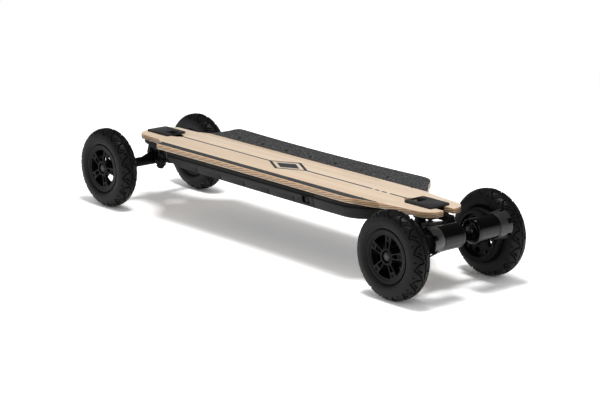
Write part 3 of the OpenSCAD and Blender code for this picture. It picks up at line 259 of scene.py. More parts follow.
def plate(outlines, low, high, edge):
    """A flat plate with holes, from Z low to high, with chamfered upper edges."""
    bm = bmesh.new()
    edges = []
    for points in outlines:
        verts = [bm.verts.new((x, y, low)) for x, y in points]
        edges += [bm.edges.new(pair) for pair in zip(verts, verts[1:] + verts[:1])]
    made = bmesh.ops.triangle_fill(bm, use_beauty=True, edges=edges, normal=(0, 0, 1))
    sheet = [g for g in made["geom"] if isinstance(g, bmesh.types.BMFace)]
    top = bmesh.ops.extrude_face_region(bm, geom=sheet)["geom"]
    verts = [g for g in top if isinstance(g, bmesh.types.BMVert)]
    faces = [g for g in top if isinstance(g, bmesh.types.BMFace)]
    bmesh.ops.translate(bm, verts=verts, vec=(0, 0, high - edge - low))
    bmesh.ops.recalc_face_normals(bm, faces=bm.faces)
    bmesh.ops.inset_region(bm, faces=faces, thickness=edge, depth=edge,
                           use_even_offset=True)
    return bm


# Settings

def tone(red, green, blue):
    """A screen colour, 0 to 255, as the linear colour that a shader takes."""
    def linear(value):
        share = value / 255
        return share / 12.92 if share <= 0.04045 else ((share + 0.055) / 1.055) ** 2.4
    return (linear(red), linear(green), linear(blue), 1)


def colour(name, description, red, green, blue):
    """A colour setting, its default given from 0 to 255."""
    return FloatVectorProperty(name=name, description=description, subtype="COLOR", size=4,
                               min=0, max=1, default=tone(red, green, blue))


def length(name, description, millimetres):
    """A length setting, its default given in millimetres."""
    return FloatProperty(name=name, description=description, unit="LENGTH",
                         subtype="DISTANCE", precision=4, default=millimetres * MM)


def angle(name, description, degrees):
    """An angle setting, its default given in degrees."""
    return FloatProperty(name=name, description=description, subtype="ANGLE",
                         default=math.radians(degrees))


def spot(name, description, x, y, z):
    """A setting for a place, its default given in metres."""
    return FloatVectorProperty(name=name, description=description, subtype="XYZ", size=3,
                               unit="LENGTH", default=(x, y, z))


class DeckSettings(bpy.types.PropertyGroup):
    """Sizes and colours of the deck and its grip tape"""
    crease: length("Crease", "Distance from the middle to a crease", 68.5)
    wing: angle("Wing slope", "Slope of a wing", 13.2)
    thickness: length("Thickness", "Thickness of the deck", 11)
    edge: length("Edge", "Rounding of the deck's edges", 2)
    strip: length("Strip", "Width of a bamboo strip", 13)
    line: length("Line", "Half the width of the centre line", 2.7)
    lozenge_x: length("Lozenge length", "Half the length of the printed lozenge", 64)
    lozenge_y: length("Lozenge width", "Half the width of the printed lozenge", 37)
    wood: colour("Wood", "Bamboo, seen from above", 238, 216, 192)
    wood_dark: colour("Wood streaks", "Darker bamboo strips", 224, 198, 168)
    layer: length("Layer", "Thickness of a layer in the deck's edge", 3.5)
    climb: FloatProperty(name="Climb", description="Rise of the layers along the deck",
                         default=0.146)
    wobble: length("Wobble", "Waviness of the layers", 2.5)
    edge_light: colour("Edge, light", "Pale layers of the deck's edge", 218, 188, 156)
    edge_dark: colour("Edge, dark", "Dark layers of the deck's edge", 122, 88, 56)
    veneer: colour("Veneer", "Edge of the upper layer", 206, 154, 98)
    ink: colour("Line colour", "Printed line and lozenge", 44, 47, 54)
    grip: colour("Grip", "Grip tape", 42, 43, 44)
    # Painted highlight: the colour that the raised grains take, as if catching light
    grit: colour("Grit", "Grains of the grip tape that catch light", 98, 98, 99)


class WheelSettings(bpy.types.PropertyGroup):
    """Sizes and colours of the tyres and rims"""
    blocks: IntProperty(name="Tread blocks", description="Tread blocks round each half",
                        default=16, min=8)
    phase: angle("Tread phase", "Turn of the tread on the wheel", 7)
    groove: length("Groove", "Depth of the tread's grooves", 3.0)
    groove_w: length("Groove width", "Half the width of a groove", 1.45)
    front_phase: angle("Front spokes", "Direction of the front wheels' first spoke", 70)
    rear_phase: angle("Rear spokes", "Direction of the rear wheels' first spoke", 12)
    spokes: IntProperty(name="Spokes", description="Number of double spokes", default=5)
    rubber: colour("Tyre", "Tyre rubber", 22, 22, 22)
    # Painted shade that darkens the bottom of the tread's grooves
    groove_shade: colour("Grooves", "Rubber at the bottom of the grooves", 3, 3, 3)
    rim: colour("Rim", "Powder coat of the rims", 14, 14, 14)


class BoxSettings(bpy.types.PropertyGroup):
    """Colours of the enclosures and what they hold, and places of their lines of painted
    shade
    """
    plastic: colour("Plastic", "Moulded plastic", 29, 30, 31)
    # Painted shade for the gap over the ledge, the seam, the flex grooves and the button's
    # recess
    line: colour("Lines", "Plastic at the bottom of seams and grooves", 2, 2, 2)
    cells: colour("Cells", "Wrap of the battery cells", 58, 104, 158)
    board: colour("Circuit board", "Board of the battery", 28, 92, 58)
    ledge: length("Ledge", "Height of the line over the ledge", 141.9)
    first: length("First groove", "Place of the first flex groove along the board", -192)
    pitch: length("Groove pitch", "Distance between two flex grooves", 79.5)
    top: length("Groove height", "Height that the flex grooves reach", 134)
    reach: length("Line reach", "Half the width of a groove's line", 2.8)
    recess_w: length("Recess width", "Width of the power button's recess", 22)
    recess_h: length("Recess height", "Height of the power button's recess", 15)


class MetalSettings(bpy.types.PropertyGroup):
    """Colours of the trucks and the drive"""
    seal: colour("Seal", "Soft rubber", 8, 8, 8)
    alloy: colour("Trucks", "Black anodised alloy", 9, 9, 9)
    plates: colour("Plates", "Black plates on the deck", 48, 48, 49)
    motor: colour("Motors", "Glossy black paint", 5, 5, 5)
    guard: colour("Guards", "Black motor mounts", 44, 44, 44)
    steel: colour("Steel", "Bright steel", 150, 150, 152)
    axle: colour("Axles", "Dark steel", 62, 60, 58)
    black_steel: colour("Black steel", "Blackened screws", 40, 40, 41)
    urethane: colour("Bushings", "Bushing urethane", 40, 40, 41)


class StageSettings(bpy.types.PropertyGroup):
    """Camera and light"""
    eye: spot("Camera", "Place of the camera", 3.04005, -2.64936, 1.11938)
    yaw: angle("Yaw", "Direction of view, from the tail's", 138.531)
    pitch: angle("Pitch", "Tilt of the view", -14.3965)
    roll: angle("Roll", "Turn of the view about its line of sight", 0.563)
    lens: FloatProperty(name="Lens", description="Focal length on a 36 mm sensor",
                        unit="CAMERA", default=117.66)
    key: FloatProperty(name="Key light", description="Power of the light overhead",
                       unit="POWER", default=56)
    key_size: length("Key size", "Width of the light overhead", 900)
    key_place: spot("Key place", "Place of the light overhead", 0.25, -0.2, 3.0)
    fill: FloatProperty(name="Fill light", description="Power of the light by the camera",
                        unit="POWER", default=22)
    fill_size: length("Fill size", "Width of the light by the camera", 2200)
    fill_place: spot("Fill place", "Place of the light by the camera", 2.2, -3.0, 1.9)
    aim: spot("Aim", "Place that both lights face", 0, 0, 0.1)
    ambient: FloatProperty(name="Ambient", description="Strength of the light all round",
                           default=0.42)
    paper: FloatProperty(name="Paper", description="Brightness of the floor as it is seen",
                         default=1.6)
    ceiling: FloatProperty(name="Ceiling", description="Brightness overhead in reflections",
                           default=0.06)
    floor: length("Floor", "Radius of the floor", 9000)
    fade_from: length("Fade from", "Where the floor begins to turn plain white", 1000)
    fade_to: length("Fade to", "Where the floor is plain white", 2200)


# Materials

def add(tree, kind, inputs=None, **settings):
    """Adds a node. Sockets among its inputs are linked, and other values set."""
    made = tree.nodes.new("ShaderNode" + kind)
    for key, value in settings.items():
        setattr(made, key, value)
    for key, value in (inputs or {}).items():
        if isinstance(value, bpy.types.NodeSocket):
            tree.links.new(value, made.inputs[key])
        else:
            made.inputs[key].default_value = value
    return made


def math_of(tree, operation, first, second=0.0):
    """One step of arithmetic on sockets or numbers."""
    return add(tree, "Math", {0: first, 1: second}, operation=operation).outputs[0]


def product(tree, *values):
    """All the values multiplied."""
    whole = values[0]
    for value in values[1:]:
        whole = math_of(tree, "MULTIPLY", whole, value)
    return whole


def greatest(tree, *values):
    """The greatest of the values."""
    most = values[0]
    for value in values[1:]:
        most = math_of(tree, "MAXIMUM", most, value)
    return most


def within(tree, value, middle, reach):
    """1 where a value lies that near to the middle, otherwise 0."""
    made = add(tree, "Math", {0: value, 1: middle, 2: reach}, operation="COMPARE")
    return made.outputs[0]


def soft_step(tree, value, low, high):
    """0 below low and 1 above high, with a smooth rise between."""
    return add(tree, "MapRange", {"Value": value, "From Min": low, "From Max": high},
               interpolation_type="SMOOTHSTEP").outputs[0]


def spread(tree, value, low, high):
    """Noise lies near a half, and this takes it to the range from low to high."""
    return add(tree, "MapRange", {"Value": value, "From Min": 0.3, "From Max": 0.7,
                                  "To Min": low, "To Max": high}).outputs[0]


def mixed(tree, factor, first, second, blend="MIX"):
    """Two colours, blended by a factor from 0 to 1."""
    made = add(tree, "Mix", {0: factor, 6: first, 7: second}, data_type="RGBA",
               blend_type=blend, clamp_factor=True)
    return made.outputs[2]


def noise(tree, place, scale, detail=2.0, stretch=None):
    """Noise with so many waves to a metre, or stretched along the axes."""
    if stretch:
        place = add(tree, "Mapping", {"Vector": place, "Scale": stretch}).outputs[0]
    made = add(tree, "TexNoise", {"Vector": place, "Scale": scale, "Detail": detail})
    return made.outputs[0]


def start(name):
    """A new material, its tree and its place on the object."""
    material = bpy.data.materials.new(name)
    material.use_nodes = True
    tree = material.node_tree
    tree.nodes.clear()
    return material, tree, add(tree, "TexCoord").outputs["Object"]


def surface(tree, base, roughness, height, depth, **constants):
    """The shader, with a bump of that depth in metres."""
    values = {key.replace("_", " "): value for key, value in constants.items()}
    bump = add(tree, "Bump", {"Height": height, "Distance": depth}).outputs[0]
    shader = add(tree, "BsdfPrincipled", {"Base Color": base, "Roughness": roughness,
                                          "Normal": bump, **values})
    add(tree, "OutputMaterial", {"Surface": shader.outputs[0]})


def scaled_colour(value, share):
    """A colour made darker or lighter."""
    return tuple(min(1, part * share) for part in value[:3]) + (1,)


def coated(name, base, roughness, grain=900.0, depth=0.04, vary=0.18, **constants):
    """A moulded, painted or anodised finish: one colour, uneven in tone and gloss, with
    so many grains to a metre and their depth in millimetres."""
    material, tree, place = start(name)
    swing = 0.06
    patches = noise(tree, place, 34, 3)
    fine = noise(tree, place, grain, 3)
    shade = mixed(tree, spread(tree, patches, 0, 1), scaled_colour(base, 1 - vary),
                  scaled_colour(base, 1 + vary))
    gloss = spread(tree, math_of(tree, "ADD", math_of(tree, "MULTIPLY", patches, 0.5),
                                 math_of(tree, "MULTIPLY", fine, 0.5)),
                   roughness - swing, roughness + swing)
    surface(tree, shade, gloss, fine, depth * MM,
            **{"Specular_IOR_Level": 0.1, **constants})
    return material


def blackened(name, metal):
    """Blackened steel, for bolts and screws."""
    return coated(name, metal.black_steel, 0.35, grain=700, depth=0.02, Metallic=0.9)


def tyre_rubber(wheels):
    """Rubber with painted shade at the bottom of the grooves."""
    material, tree, place = start("tyre_rubber")
    fine = noise(tree, place, 420, 3)
    patches = noise(tree, place, 30, 3)
    worn = mixed(tree, spread(tree, patches, 0, 1), scaled_colour(wheels.rubber, 0.85),
                 scaled_colour(wheels.rubber, 1.18))
    # The groove attribute, the share of a groove's depth, places the painted shade.
    groove = add(tree, "Attribute", attribute_name="groove").outputs["Fac"]
    shade = mixed(tree, groove, worn, wheels.groove_shade)
    gloss = math_of(tree, "ADD", spread(tree, patches, 0.36, 0.5),
                    math_of(tree, "MULTIPLY", groove, 0.3))
    surface(tree, shade, gloss, fine, 0.05 * MM, Specular_IOR_Level=0.12)
    return material


def moulded(boxes):
    """Enclosure plastic, with painted shade along its ledge, seam and flex grooves and in
    its recess.
    """
    material, tree, place = start("enclosure_plastic")
    x, y, z = add(tree, "SeparateXYZ", {0: place}).outputs
    grain = noise(tree, place, 1100, 3)
    patches = noise(tree, place, 26, 3)

    def near(value, centre, reach):
        """1 close to a plane, falling softly to 0 at the reach."""
        away = math_of(tree, "ABSOLUTE", math_of(tree, "SUBTRACT", value, centre))
        return math_of(tree, "SUBTRACT", 1.0, soft_step(tree, away, reach * 0.6, reach))

    along = math_of(tree, "SUBTRACT", x, boxes.first)
    step = math_of(tree, "PINGPONG", along, boxes.pitch / 2)
    flex = product(tree, near(step, 0.0, boxes.reach),
                   within(tree, x, boxes.first + 2 * boxes.pitch, 2.2 * boxes.pitch),
                   math_of(tree, "LESS_THAN", z, boxes.top))
    seam = near(x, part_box("battery_enclosure")[1].x, boxes.reach)
    low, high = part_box("power_button")
    middle, sunk, margin, ledge_reach = (low + high) / 2, 3 * MM, 0.3 * MM, 1.8 * MM
    recess = product(
        tree, math_of(tree, "LESS_THAN", math_of(tree, "ABSOLUTE", y), abs(low.y) + sunk),
        within(tree, x, middle.x, boxes.recess_w / 2 + margin),
        within(tree, z, middle.z, boxes.recess_h / 2 + margin))
    # Painted shade: near black where shade falls, in the gap over the ledge, along the seam
    # between the enclosures, in the flex grooves and in the power button's recess.
    lines = greatest(tree, flex, seam, near(z, boxes.ledge, ledge_reach), recess)
    shade = mixed(tree, spread(tree, patches, 0, 1), scaled_colour(boxes.plastic, 0.9),
                  scaled_colour(boxes.plastic, 1.1))
    base = mixed(tree, lines, shade, boxes.line)
    surface(tree, base, spread(tree, grain, 0.42, 0.54), grain, 0.12 * MM,
            Specular_IOR_Level=0.14)
    return material


def bamboo(deck):
    """Straight bamboo strips above, and crossed layers at the edge."""
    material, tree, place = start("bamboo")
    axes = add(tree, "SeparateXYZ", {0: place}).outputs
    below = depth_below(tree, axes, deck)
    strips = add(tree, "TexBrick", {
        "Vector": place, "Color1": deck.wood, "Color2": deck.wood_dark,
        "Mortar": scaled_colour(deck.wood_dark, 0.86), "Scale": 1.0,
        "Mortar Size": 0.15 * MM, "Mortar Smooth": 0.6, "Bias": -0.25, "Brick Width": 0.36,
        "Row Height": deck.strip}, offset=0.38).outputs[0]
    fibre = noise(tree, place, 1.0, 5, (7, 620, 620))
    broad = noise(tree, place, 1.0, 2, (2.2, 46, 46))
    light = math_of(tree, "ADD", spread(tree, fibre, -0.06, 0.05),
                    spread(tree, broad, 0.95, 1.04))
    face = mixed(tree, 1.0, strips, light, "MULTIPLY")
    edge = mixed(tree, 1.0, layered_edge(tree, place, axes[0], below, deck), light,
                 "MULTIPLY")
    printed = mixed(tree, ink_mask(tree, axes, deck), face, deck.ink)
    base = mixed(tree, soft_step(tree, below, 0.7 * MM, 1.4 * MM), printed, edge)
    base = mixed(tree, soft_step(tree, below, deck.thickness - 0.9 * MM,
                                 deck.thickness - 0.3 * MM), base, face)
    # Painted shade: the walls of the truck slots under the plates are made near black.
    base = mixed(tree, slot_shade_mask(tree, axes, below), base, SLOT_SHADE)
    surface(tree, base, spread(tree, fibre, 0.36, 0.5), fibre, 0.05 * MM,
            Coat_Weight=0.12, Coat_Roughness=0.25)
    return material


def depth_below(tree, axes, deck):
    """Depth below the deck's upper face, which rises on the wings."""
    across = math_of(tree, "ABSOLUTE", axes[1])
    past = math_of(tree, "MAXIMUM", math_of(tree, "SUBTRACT", across, deck.crease), 0.0)
    top_z = math_of(tree, "ADD", math_of(tree, "MULTIPLY", past, math.tan(deck.wing)),
                    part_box("top_plates")[0].z)
    return math_of(tree, "SUBTRACT", top_z, axes[2])


def layered_edge(tree, place, along, below, deck):
    """Slanted layers, pale and dark, below the upper veneer, with painted shade that
    darkens them further down.
    """
    climb = math_of(tree, "MULTIPLY", along, deck.climb)
    wobble = math_of(tree, "MULTIPLY", noise(tree, place, 1.0, 2, (9, 60, 60)), deck.wobble)
    depth = math_of(tree, "ADD", math_of(tree, "ADD", below, climb), wobble)
    wave = math_of(tree, "SINE", math_of(tree, "MULTIPLY", depth, math.tau / deck.layer))
    core = mixed(tree, soft_step(tree, wave, -0.9, 0.5), deck.edge_dark, deck.edge_light)
    edge = mixed(tree, soft_step(tree, below, 2.4 * MM, 3.2 * MM), deck.veneer, core)
    # Painted shade: towards the lower face the edge is mixed, up to 0.35 of the way, to a
    # darker tone of the dark layers.
    shade = soft_step(tree, below, 0.3 * deck.thickness, deck.thickness)
    return mixed(tree, math_of(tree, "MULTIPLY", shade, 0.35), edge,
                 scaled_colour(deck.edge_dark, 0.7))


def slot_shade_mask(tree, axes, below):
    """The walls of the truck slots under the plates, which get painted shade: near black,
    like the dark seen through the plates' windows.
    """
    inset, slot_half, face = 4 * MM, 32 * MM, 0.6 * MM
    ends = [abs(point.x) for island in islands("top_plates") for point in island]
    low, high = min(ends), max(ends)
    return product(
        tree, within(tree, math_of(tree, "ABSOLUTE", axes[0]), (low + high) / 2 - inset,
                     (high - low) / 2),
        math_of(tree, "LESS_THAN", math_of(tree, "ABSOLUTE", axes[1]), slot_half),
        math_of(tree, "GREATER_THAN", below, face))


def ink_mask(tree, axes, deck):
    """The printed line along the middle, with two dashes, and a plain lozenge on it,
    which has a rim and a solid core in shares of its size."""
    centre, rim, rim_half_width, core = 3 * MM, 0.9, 0.1, 0.58
    gaps = ((262, 270), (283, 290), (304, 313))
    x, y = axes[0], math_of(tree, "ABSOLUTE", axes[1])
    away = math_of(tree, "ABSOLUTE", math_of(tree, "SUBTRACT", x, centre))
    lozenge = math_of(tree, "ADD", math_of(tree, "DIVIDE", away, deck.lozenge_x),
                      math_of(tree, "DIVIDE", y, deck.lozenge_y))
    line = product(tree, math_of(tree, "LESS_THAN", y, deck.line),
                   math_of(tree, "GREATER_THAN", lozenge, 1.0))
    for low, high in gaps:
        gap = within(tree, x, (low + high) / 2 * MM, (high - low) / 2 * MM)
        line = product(tree, line, math_of(tree, "SUBTRACT", 1.0, gap))
    return greatest(tree, line, within(tree, lozenge, rim, rim_half_width),
                    math_of(tree, "LESS_THAN", lozenge, core))


def grip_sheet(deck):
    """Coarse grit bonded to a dark sheet, with painted highlights on the grains and painted
    shade between them.
    """
    material, tree, place = start("grip_sheet")
    grit = noise(tree, place, 900, 2)
    clumps = noise(tree, place, 420, 2)
    mix = math_of(tree, "ADD", math_of(tree, "MULTIPLY", grit, 0.4),
                  math_of(tree, "MULTIPLY", clumps, 0.6))
    # Painted highlight on the raised grains, where the noise is high.
    base = mixed(tree, soft_step(tree, mix, 0.42, 0.66), deck.grip, deck.grit)
    # Painted shade in the low places between the grains.
    base = mixed(tree, soft_step(tree, mix, 0.36, 0.5), scaled_colour(deck.grip, 0.45),
                 base)
    surface(tree, base, 0.93, mix, 0.4 * MM, Specular_IOR_Level=0.3)
    return material


# Tyres

def tyre_outline():
    """Radius and height of a tyre's section, from the inside of one bead to the other."""
    low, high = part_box("rear_left_tyre")
    outer, half = (high.z - low.z) / 2, (high.y - low.y) / 2
    steps, drop, power = 30, 8.5 * MM, 2.6
    shoulder_z = half - 2.95 * MM
    crown = [(outer - drop * (i / steps) ** power, shoulder_z * i / steps)
             for i in range(steps + 1)]
    wall = [(outer - r * MM, half - z * MM) for r, z in (
        (9.4, 2.45), (10.2, 1.95), (11.4, 1.75), (13.2, 1.25), (15.6, 0.65), (18.4, 0.2),
        (22.0, 0.0), (25.4, 0.15), (26.6, 0.35), (26.9, 0.9), (27.5, 0.9), (27.8, 0.5),
        (28.4, 0.6), (30.6, 1.2), (31.8, 1.9), (32.7, 3.2), (33.8, 4.6), (35.0, 5.2),
        (35.5, 5.45), (39.7, 5.45), (39.7, 10.4))]
    hollow = [(outer - r * MM, half - z * MM) for r, z in (
        (38.0, 10.4), (34.8, 9.0), (31.0, 4.6), (22.0, 3.5), (11.5, 6.4))]
    hollow.append((outer - 7.5 * MM, 9 * MM))
    half_section = crown + wall + hollow
    return half_section + [(r, -z) for r, z in reversed(half_section) if z > 0]


def tread_lines():
    """The grooves of one tread block on one half: a zigzag that meets the shoulder at
    a point, a dash beside it and a stretch near the middle, in degrees and metres."""
    zigzag = [(-10.0, 4.4), (-9.0, 13.3), (-6.5, 15.6), (0.0, 19.9), (4.0, 12.6),
              (8.5, 6.6), (12.5, 4.4)]
    shoulder = [(0.0, 19.0), (-1.5, 23.0)]
    notch = [(11.2, 18.6), (11.8, 23.0)]
    dash = [(-1.4, 14.2), (2.0, 8.2)]
    middle = [(-8.0, 0.7), (9.5, -0.3)]
    return [[Vector((math.radians(a) * TREAD_RADIUS, z * MM)) for a, z in line]
            for line in (zigzag, shoulder, notch, dash, middle)]


def line_distance(point, line):
    """Distance from a point to the nearest place on a line of points."""
    best = 1.0
    for start, end in zip(line, line[1:]):
        along = end - start
        share = max(0, min(1, (point - start).dot(along) / along.length_squared))
        best = min(best, (point - start - along * share).length)
    return best


def cut_tread(bm, wheels):
    """Presses the grooves into the crown, each with a soft lip of a share of its width."""
    lines, lip = tread_lines(), 0.25
    shade_mark = bm.verts.layers.float.new("groove")
    pitch = math.tau / wheels.blocks
    span = pitch * TREAD_RADIUS
    for vert in bm.verts:
        x, y, z = vert.co
        radius = math.hypot(x, y)
        if radius < TREAD_BOTTOM:
            continue
        half_turn = pitch / 2 if z < 0 else 0
        turn = (math.atan2(y, x) - wheels.phase - half_turn) % pitch * TREAD_RADIUS
        nearest = min(line_distance(Vector((turn - shift, abs(z))), line)
                      for line in lines for shift in (0, span))
        share = 1 - nearest / wheels.groove_w
        if share <= -lip:
            continue
        rise = max(0, min(1, (share + lip) / (1 - lip)))
        depth = wheels.groove * rise * rise * (3 - 2 * rise)
        # The share of the depth, which places painted shade in the grooves
        vert[shade_mark] = depth / wheels.groove
        vert.co.x -= x / radius * depth
        vert.co.y -= y / radius * depth


# Rims

def hub_radius():
    """Outer radius of a rim's hub, a wall round its bearing."""
    low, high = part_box("rear_left_bearings")
    return (high.z - low.z) / 2 + HUB_WALL


def bolt_radius():
    """Radius of the circle that the hub bolts stand on."""
    middle = centre_of("front_left_tyre")
    reach = [(centre_of_island(island) - middle).xz.length
             for island in islands("front_left_hub_bolts")]
    return sum(reach) / len(reach)


def hub_seat():
    """Distance from a wheel's middle to its bearings."""
    middle = centre_of("front_left_tyre").y
    return min(abs(point.y - middle) for island in islands("front_left_bearings")
               for point in island)


def rim_face(spokes, face_z, thickness):
    """The pierced face of a rim: large windows between double spokes."""
    turn = 360 / spokes
    ring_r, hub_r, rib = 42 * MM, hub_radius(), 2.8 * MM

    def half_spoke(radius):
        """Half a double spoke's width, which grows towards the ring."""
        return (5.2 + 3.4 * (radius - hub_r) / (ring_r - hub_r)) * MM

    def side(radius):
        """Direction of a window's side, from the window's middle, in degrees."""
        return turn / 2 - math.degrees(math.asin(half_spoke(radius) / radius))

    hub_edge = hub_r + 1.8 * MM
    window = rounded(arc(ring_r, -side(ring_r), side(ring_r), 8)
                     + arc(hub_edge, side(hub_edge), -side(hub_edge), 3), 3.4 * MM)
    low, high = hub_r + 2 * MM, bolt_radius() - 7 * MM
    slot = rounded([Vector((low, rib - half_spoke(low))),
                    Vector((high, rib - half_spoke(high))),
                    Vector((high, half_spoke(high) - rib)),
                    Vector((low, half_spoke(low) - rib))], 1.2 * MM)
    bolt = circle(BOLT_WELL, 24, (bolt_radius(), 0))
    outlines = [circle(RIM_BORE + 1 * MM, 128), circle(hub_r - 1 * MM, 64)]
    for i in range(spokes):
        outlines += [turned(window, (i + 0.5) * turn), turned(slot, i * turn),
                     turned(bolt, i * turn)]
    return plate(outlines, face_z - thickness, face_z, 0.5 * MM)


def rim_half(spokes):
    """One half of a split rim, its outer face up and its first spoke along X."""
    low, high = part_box("front_left_rim_outer")
    outer, rim_z = (high.z - low.z) / 2, high.y - low.y
    face_z, thickness = rim_z - 0.9 * MM, 5.5 * MM
    hub_r, seat, edge, lip = hub_radius(), hub_seat(), 0.6 * MM, 2.5 * MM
    barrel = spun([
        (RIM_BORE, 0), (49 * MM, 0), (49 * MM, rim_z - 2.2 * MM), (outer, rim_z - 2.2 * MM),
        (outer, rim_z - edge), (outer - edge, rim_z), (46.6 * MM, rim_z),
        (45.9 * MM, rim_z - 0.3 * MM), (RIM_BORE, face_z - 0.8 * MM)], 128)
    bearing = hub_r - HUB_WALL + 0.05 * MM
    top = face_z + edge
    hub = spun([
        (bearing - lip, 0), (hub_r, 0), (hub_r, top - edge), (hub_r - edge, top),
        (bearing + edge, top), (bearing, top - edge), (bearing, seat),
        (bearing - lip, seat)], 96)
    parts = [barrel, hub, rim_face(spokes, face_z, thickness)]
    floor_z = face_z - thickness
    inside = floor_z + 0.2 * MM
    hole, post_r = 2.05 * MM, 6.4 * MM
    for i in range(spokes):
        post = spun([(hole, 0), (post_r, 0), (post_r, inside), (BOLT_WELL, inside),
                     (BOLT_WELL, floor_z), (hole, floor_z)], 24)
        parts.append(placed(post, Matrix.Rotation(math.tau * i / spokes, 4, "Z")
                            @ Matrix.Translation((bolt_radius(), 0, 0))))
    return joined(parts)


# Motors

def motor_can(node):
    """A can with a rounded inner end, a rolled bead near each end and a bearing cap."""
    low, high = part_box(node)
    radius, whole = (high.z - low.z) / 2, high.y - low.y
    wall, face, bore, corner = 2.5 * MM, whole - 2 * MM, 4.1 * MM, 2.2 * MM
    outline = [(4.1, 0.9), (7.0, 0.9), (7.4, 0.5), (10.4, 0.5), (10.8, 1.6), (15.5, 1.6),
               (16.0, 0.4)]
    profile = [(r * MM, z * MM) for r, z in outline]
    profile += [Vector((radius - corner, corner)) + polar(corner, a)
                for a in (-90, -67, -45, -22, 0)]
    for bead in (6 * MM, face - 5 * MM):
        profile += [(radius, bead - 0.5 * MM), (radius - 0.5 * MM, bead - 0.2 * MM),
                    (radius - 0.5 * MM, bead + 0.2 * MM), (radius, bead + 0.5 * MM)]
    profile += [(radius, face), (11 * MM, face), (11 * MM, whole), (bore, whole),
                (bore, face - 8 * MM), (radius - wall, face - 8 * MM),
                (radius - wall, 3 * MM), (bore, 3 * MM)]
    return spun(profile, 96)


# Stage

def add_camera(stage):
    """The view that the photograph was taken from."""
    ahead = Vector((math.cos(stage.pitch) * math.cos(stage.yaw),
                    math.cos(stage.pitch) * math.sin(stage.yaw), math.sin(stage.pitch)))
    level = ahead.cross(Vector((0, 0, 1))).normalized()
    upright = level.cross(ahead)
    right = level * math.cos(stage.roll) + upright * math.sin(stage.roll)
    up = right.cross(ahead)
    camera = bpy.data.cameras.new("camera")
    camera.lens = stage.lens
    camera.sensor_width = 36
    camera.sensor_fit = "HORIZONTAL"
    made = bpy.data.objects.new("camera", camera)
    turn = Matrix((right, up, -ahead)).transposed().to_4x4()
    made.matrix_world = Matrix.Translation(stage.eye) @ turn
    bpy.context.scene.collection.objects.link(made)
    bpy.context.scene.camera = made


def add_lamp(name, place, aim, size, power):
    """A square soft light that faces the board."""
    lamp = bpy.data.lights.new(name, "AREA")
    lamp.shape = "SQUARE"
    lamp.size = size
    lamp.energy = power
    made = bpy.data.objects.new(name, lamp)
    made.location = place
    made.rotation_euler = (Vector(aim) - Vector(place)).to_track_quat("-Z", "Y").to_euler()
    bpy.context.scene.collection.objects.link(made)


def seen_rays(tree):
    """1 for rays that show a surface: from the camera, by gloss or by transmission."""
    path = add(tree, "LightPath").outputs
    return greatest(tree, path["Is Camera Ray"], path["Is Glossy Ray"],
                    path["Is Transmission Ray"])


def add_floor(stage):
    """A white floor that keeps the shadow near the board and is plain white further out."""
    bm = bmesh.new()
    bmesh.ops.create_circle(bm, cap_ends=True, segments=64, radius=stage.floor)
    bmesh.ops.translate(bm, verts=bm.verts, vec=(0, 0, -0.3 * MM))
    mesh = bpy.data.meshes.new("floor")
    bm.to_mesh(mesh)
    bm.free()
    material, tree, place = start("floor_white")
    reach = add(tree, "VectorMath", {0: place}, operation="LENGTH").outputs["Value"]
    seen = seen_rays(tree)
    far = product(tree, soft_step(tree, reach, stage.fade_from, stage.fade_to), seen)
    paper = mixed(tree, seen, WHITE, (stage.paper,) * 3 + (1,))
    matt = add(tree, "BsdfDiffuse", {"Color": paper}).outputs[0]
    glow = add(tree, "Emission", {"Color": WHITE, "Strength": 1.0}).outputs[0]
    both = add(tree, "MixShader", {0: far, 1: matt, 2: glow}).outputs[0]
    add(tree, "OutputMaterial", {"Surface": both})
    mesh.materials.append(material)
    made = bpy.data.objects.new("floor", mesh)
    bpy.context.scene.collection.objects.link(made)


def add_world(stage):
    """Even light all round. The camera sees white, and so do shiny surfaces below the
    lights, where the ceiling is dim."""
    world = bpy.data.worlds.new("studio")
    bpy.context.scene.world = world
    world.use_nodes = True
    tree = world.node_tree
    tree.nodes.clear()
    ray = add(tree, "TexCoord").outputs["Generated"]
    height = add(tree, "SeparateXYZ", {0: ray}).outputs[2]
    overhead = soft_step(tree, height, 0.0, 0.3)
    ceiling = mixed(tree, overhead, WHITE, (stage.ceiling,) * 3 + (1,))
    from_camera = add(tree, "LightPath").outputs["Is Camera Ray"]
    white = mixed(tree, from_camera, ceiling, WHITE)
    light = add(tree, "Background", {"Color": WHITE, "Strength": stage.ambient}).outputs[0]
    backdrop = add(tree, "Background", {"Color": white, "Strength": 1.0}).outputs[0]
    both = add(tree, "MixShader", {0: seen_rays(tree), 1: light, 2: backdrop}).outputs[0]
    add(tree, "OutputWorld", {"Surface": both})


# Operators

class MOUNTAINBOARD_OT_deck(bpy.types.Operator):
    """Shape the deck and its grip tape"""
    bl_idname = "mountainboard.deck"
    bl_label = "Deck"

    def execute(self, context):
        deck = context.scene.board_deck
        holes = [centre_of_island(island) for island in
                 islands("enclosure_screws") + islands("base_bolts")]

        def clear_of_holes(edge):
            """Edges round a hole stay sharp, so that its screw still fits."""
            middle = (edge.verts[0].co + edge.verts[1].co) / 2
            return all((middle - hole).xy.length > 7 * MM for hole in holes)

        refined("deck", deck.edge, bamboo(deck), segments=3,
                wanted=clear_of_holes)
        refined("grip_tape", 0.3 * MM, grip_sheet(deck), segments=1)
        return {"FINISHED"}


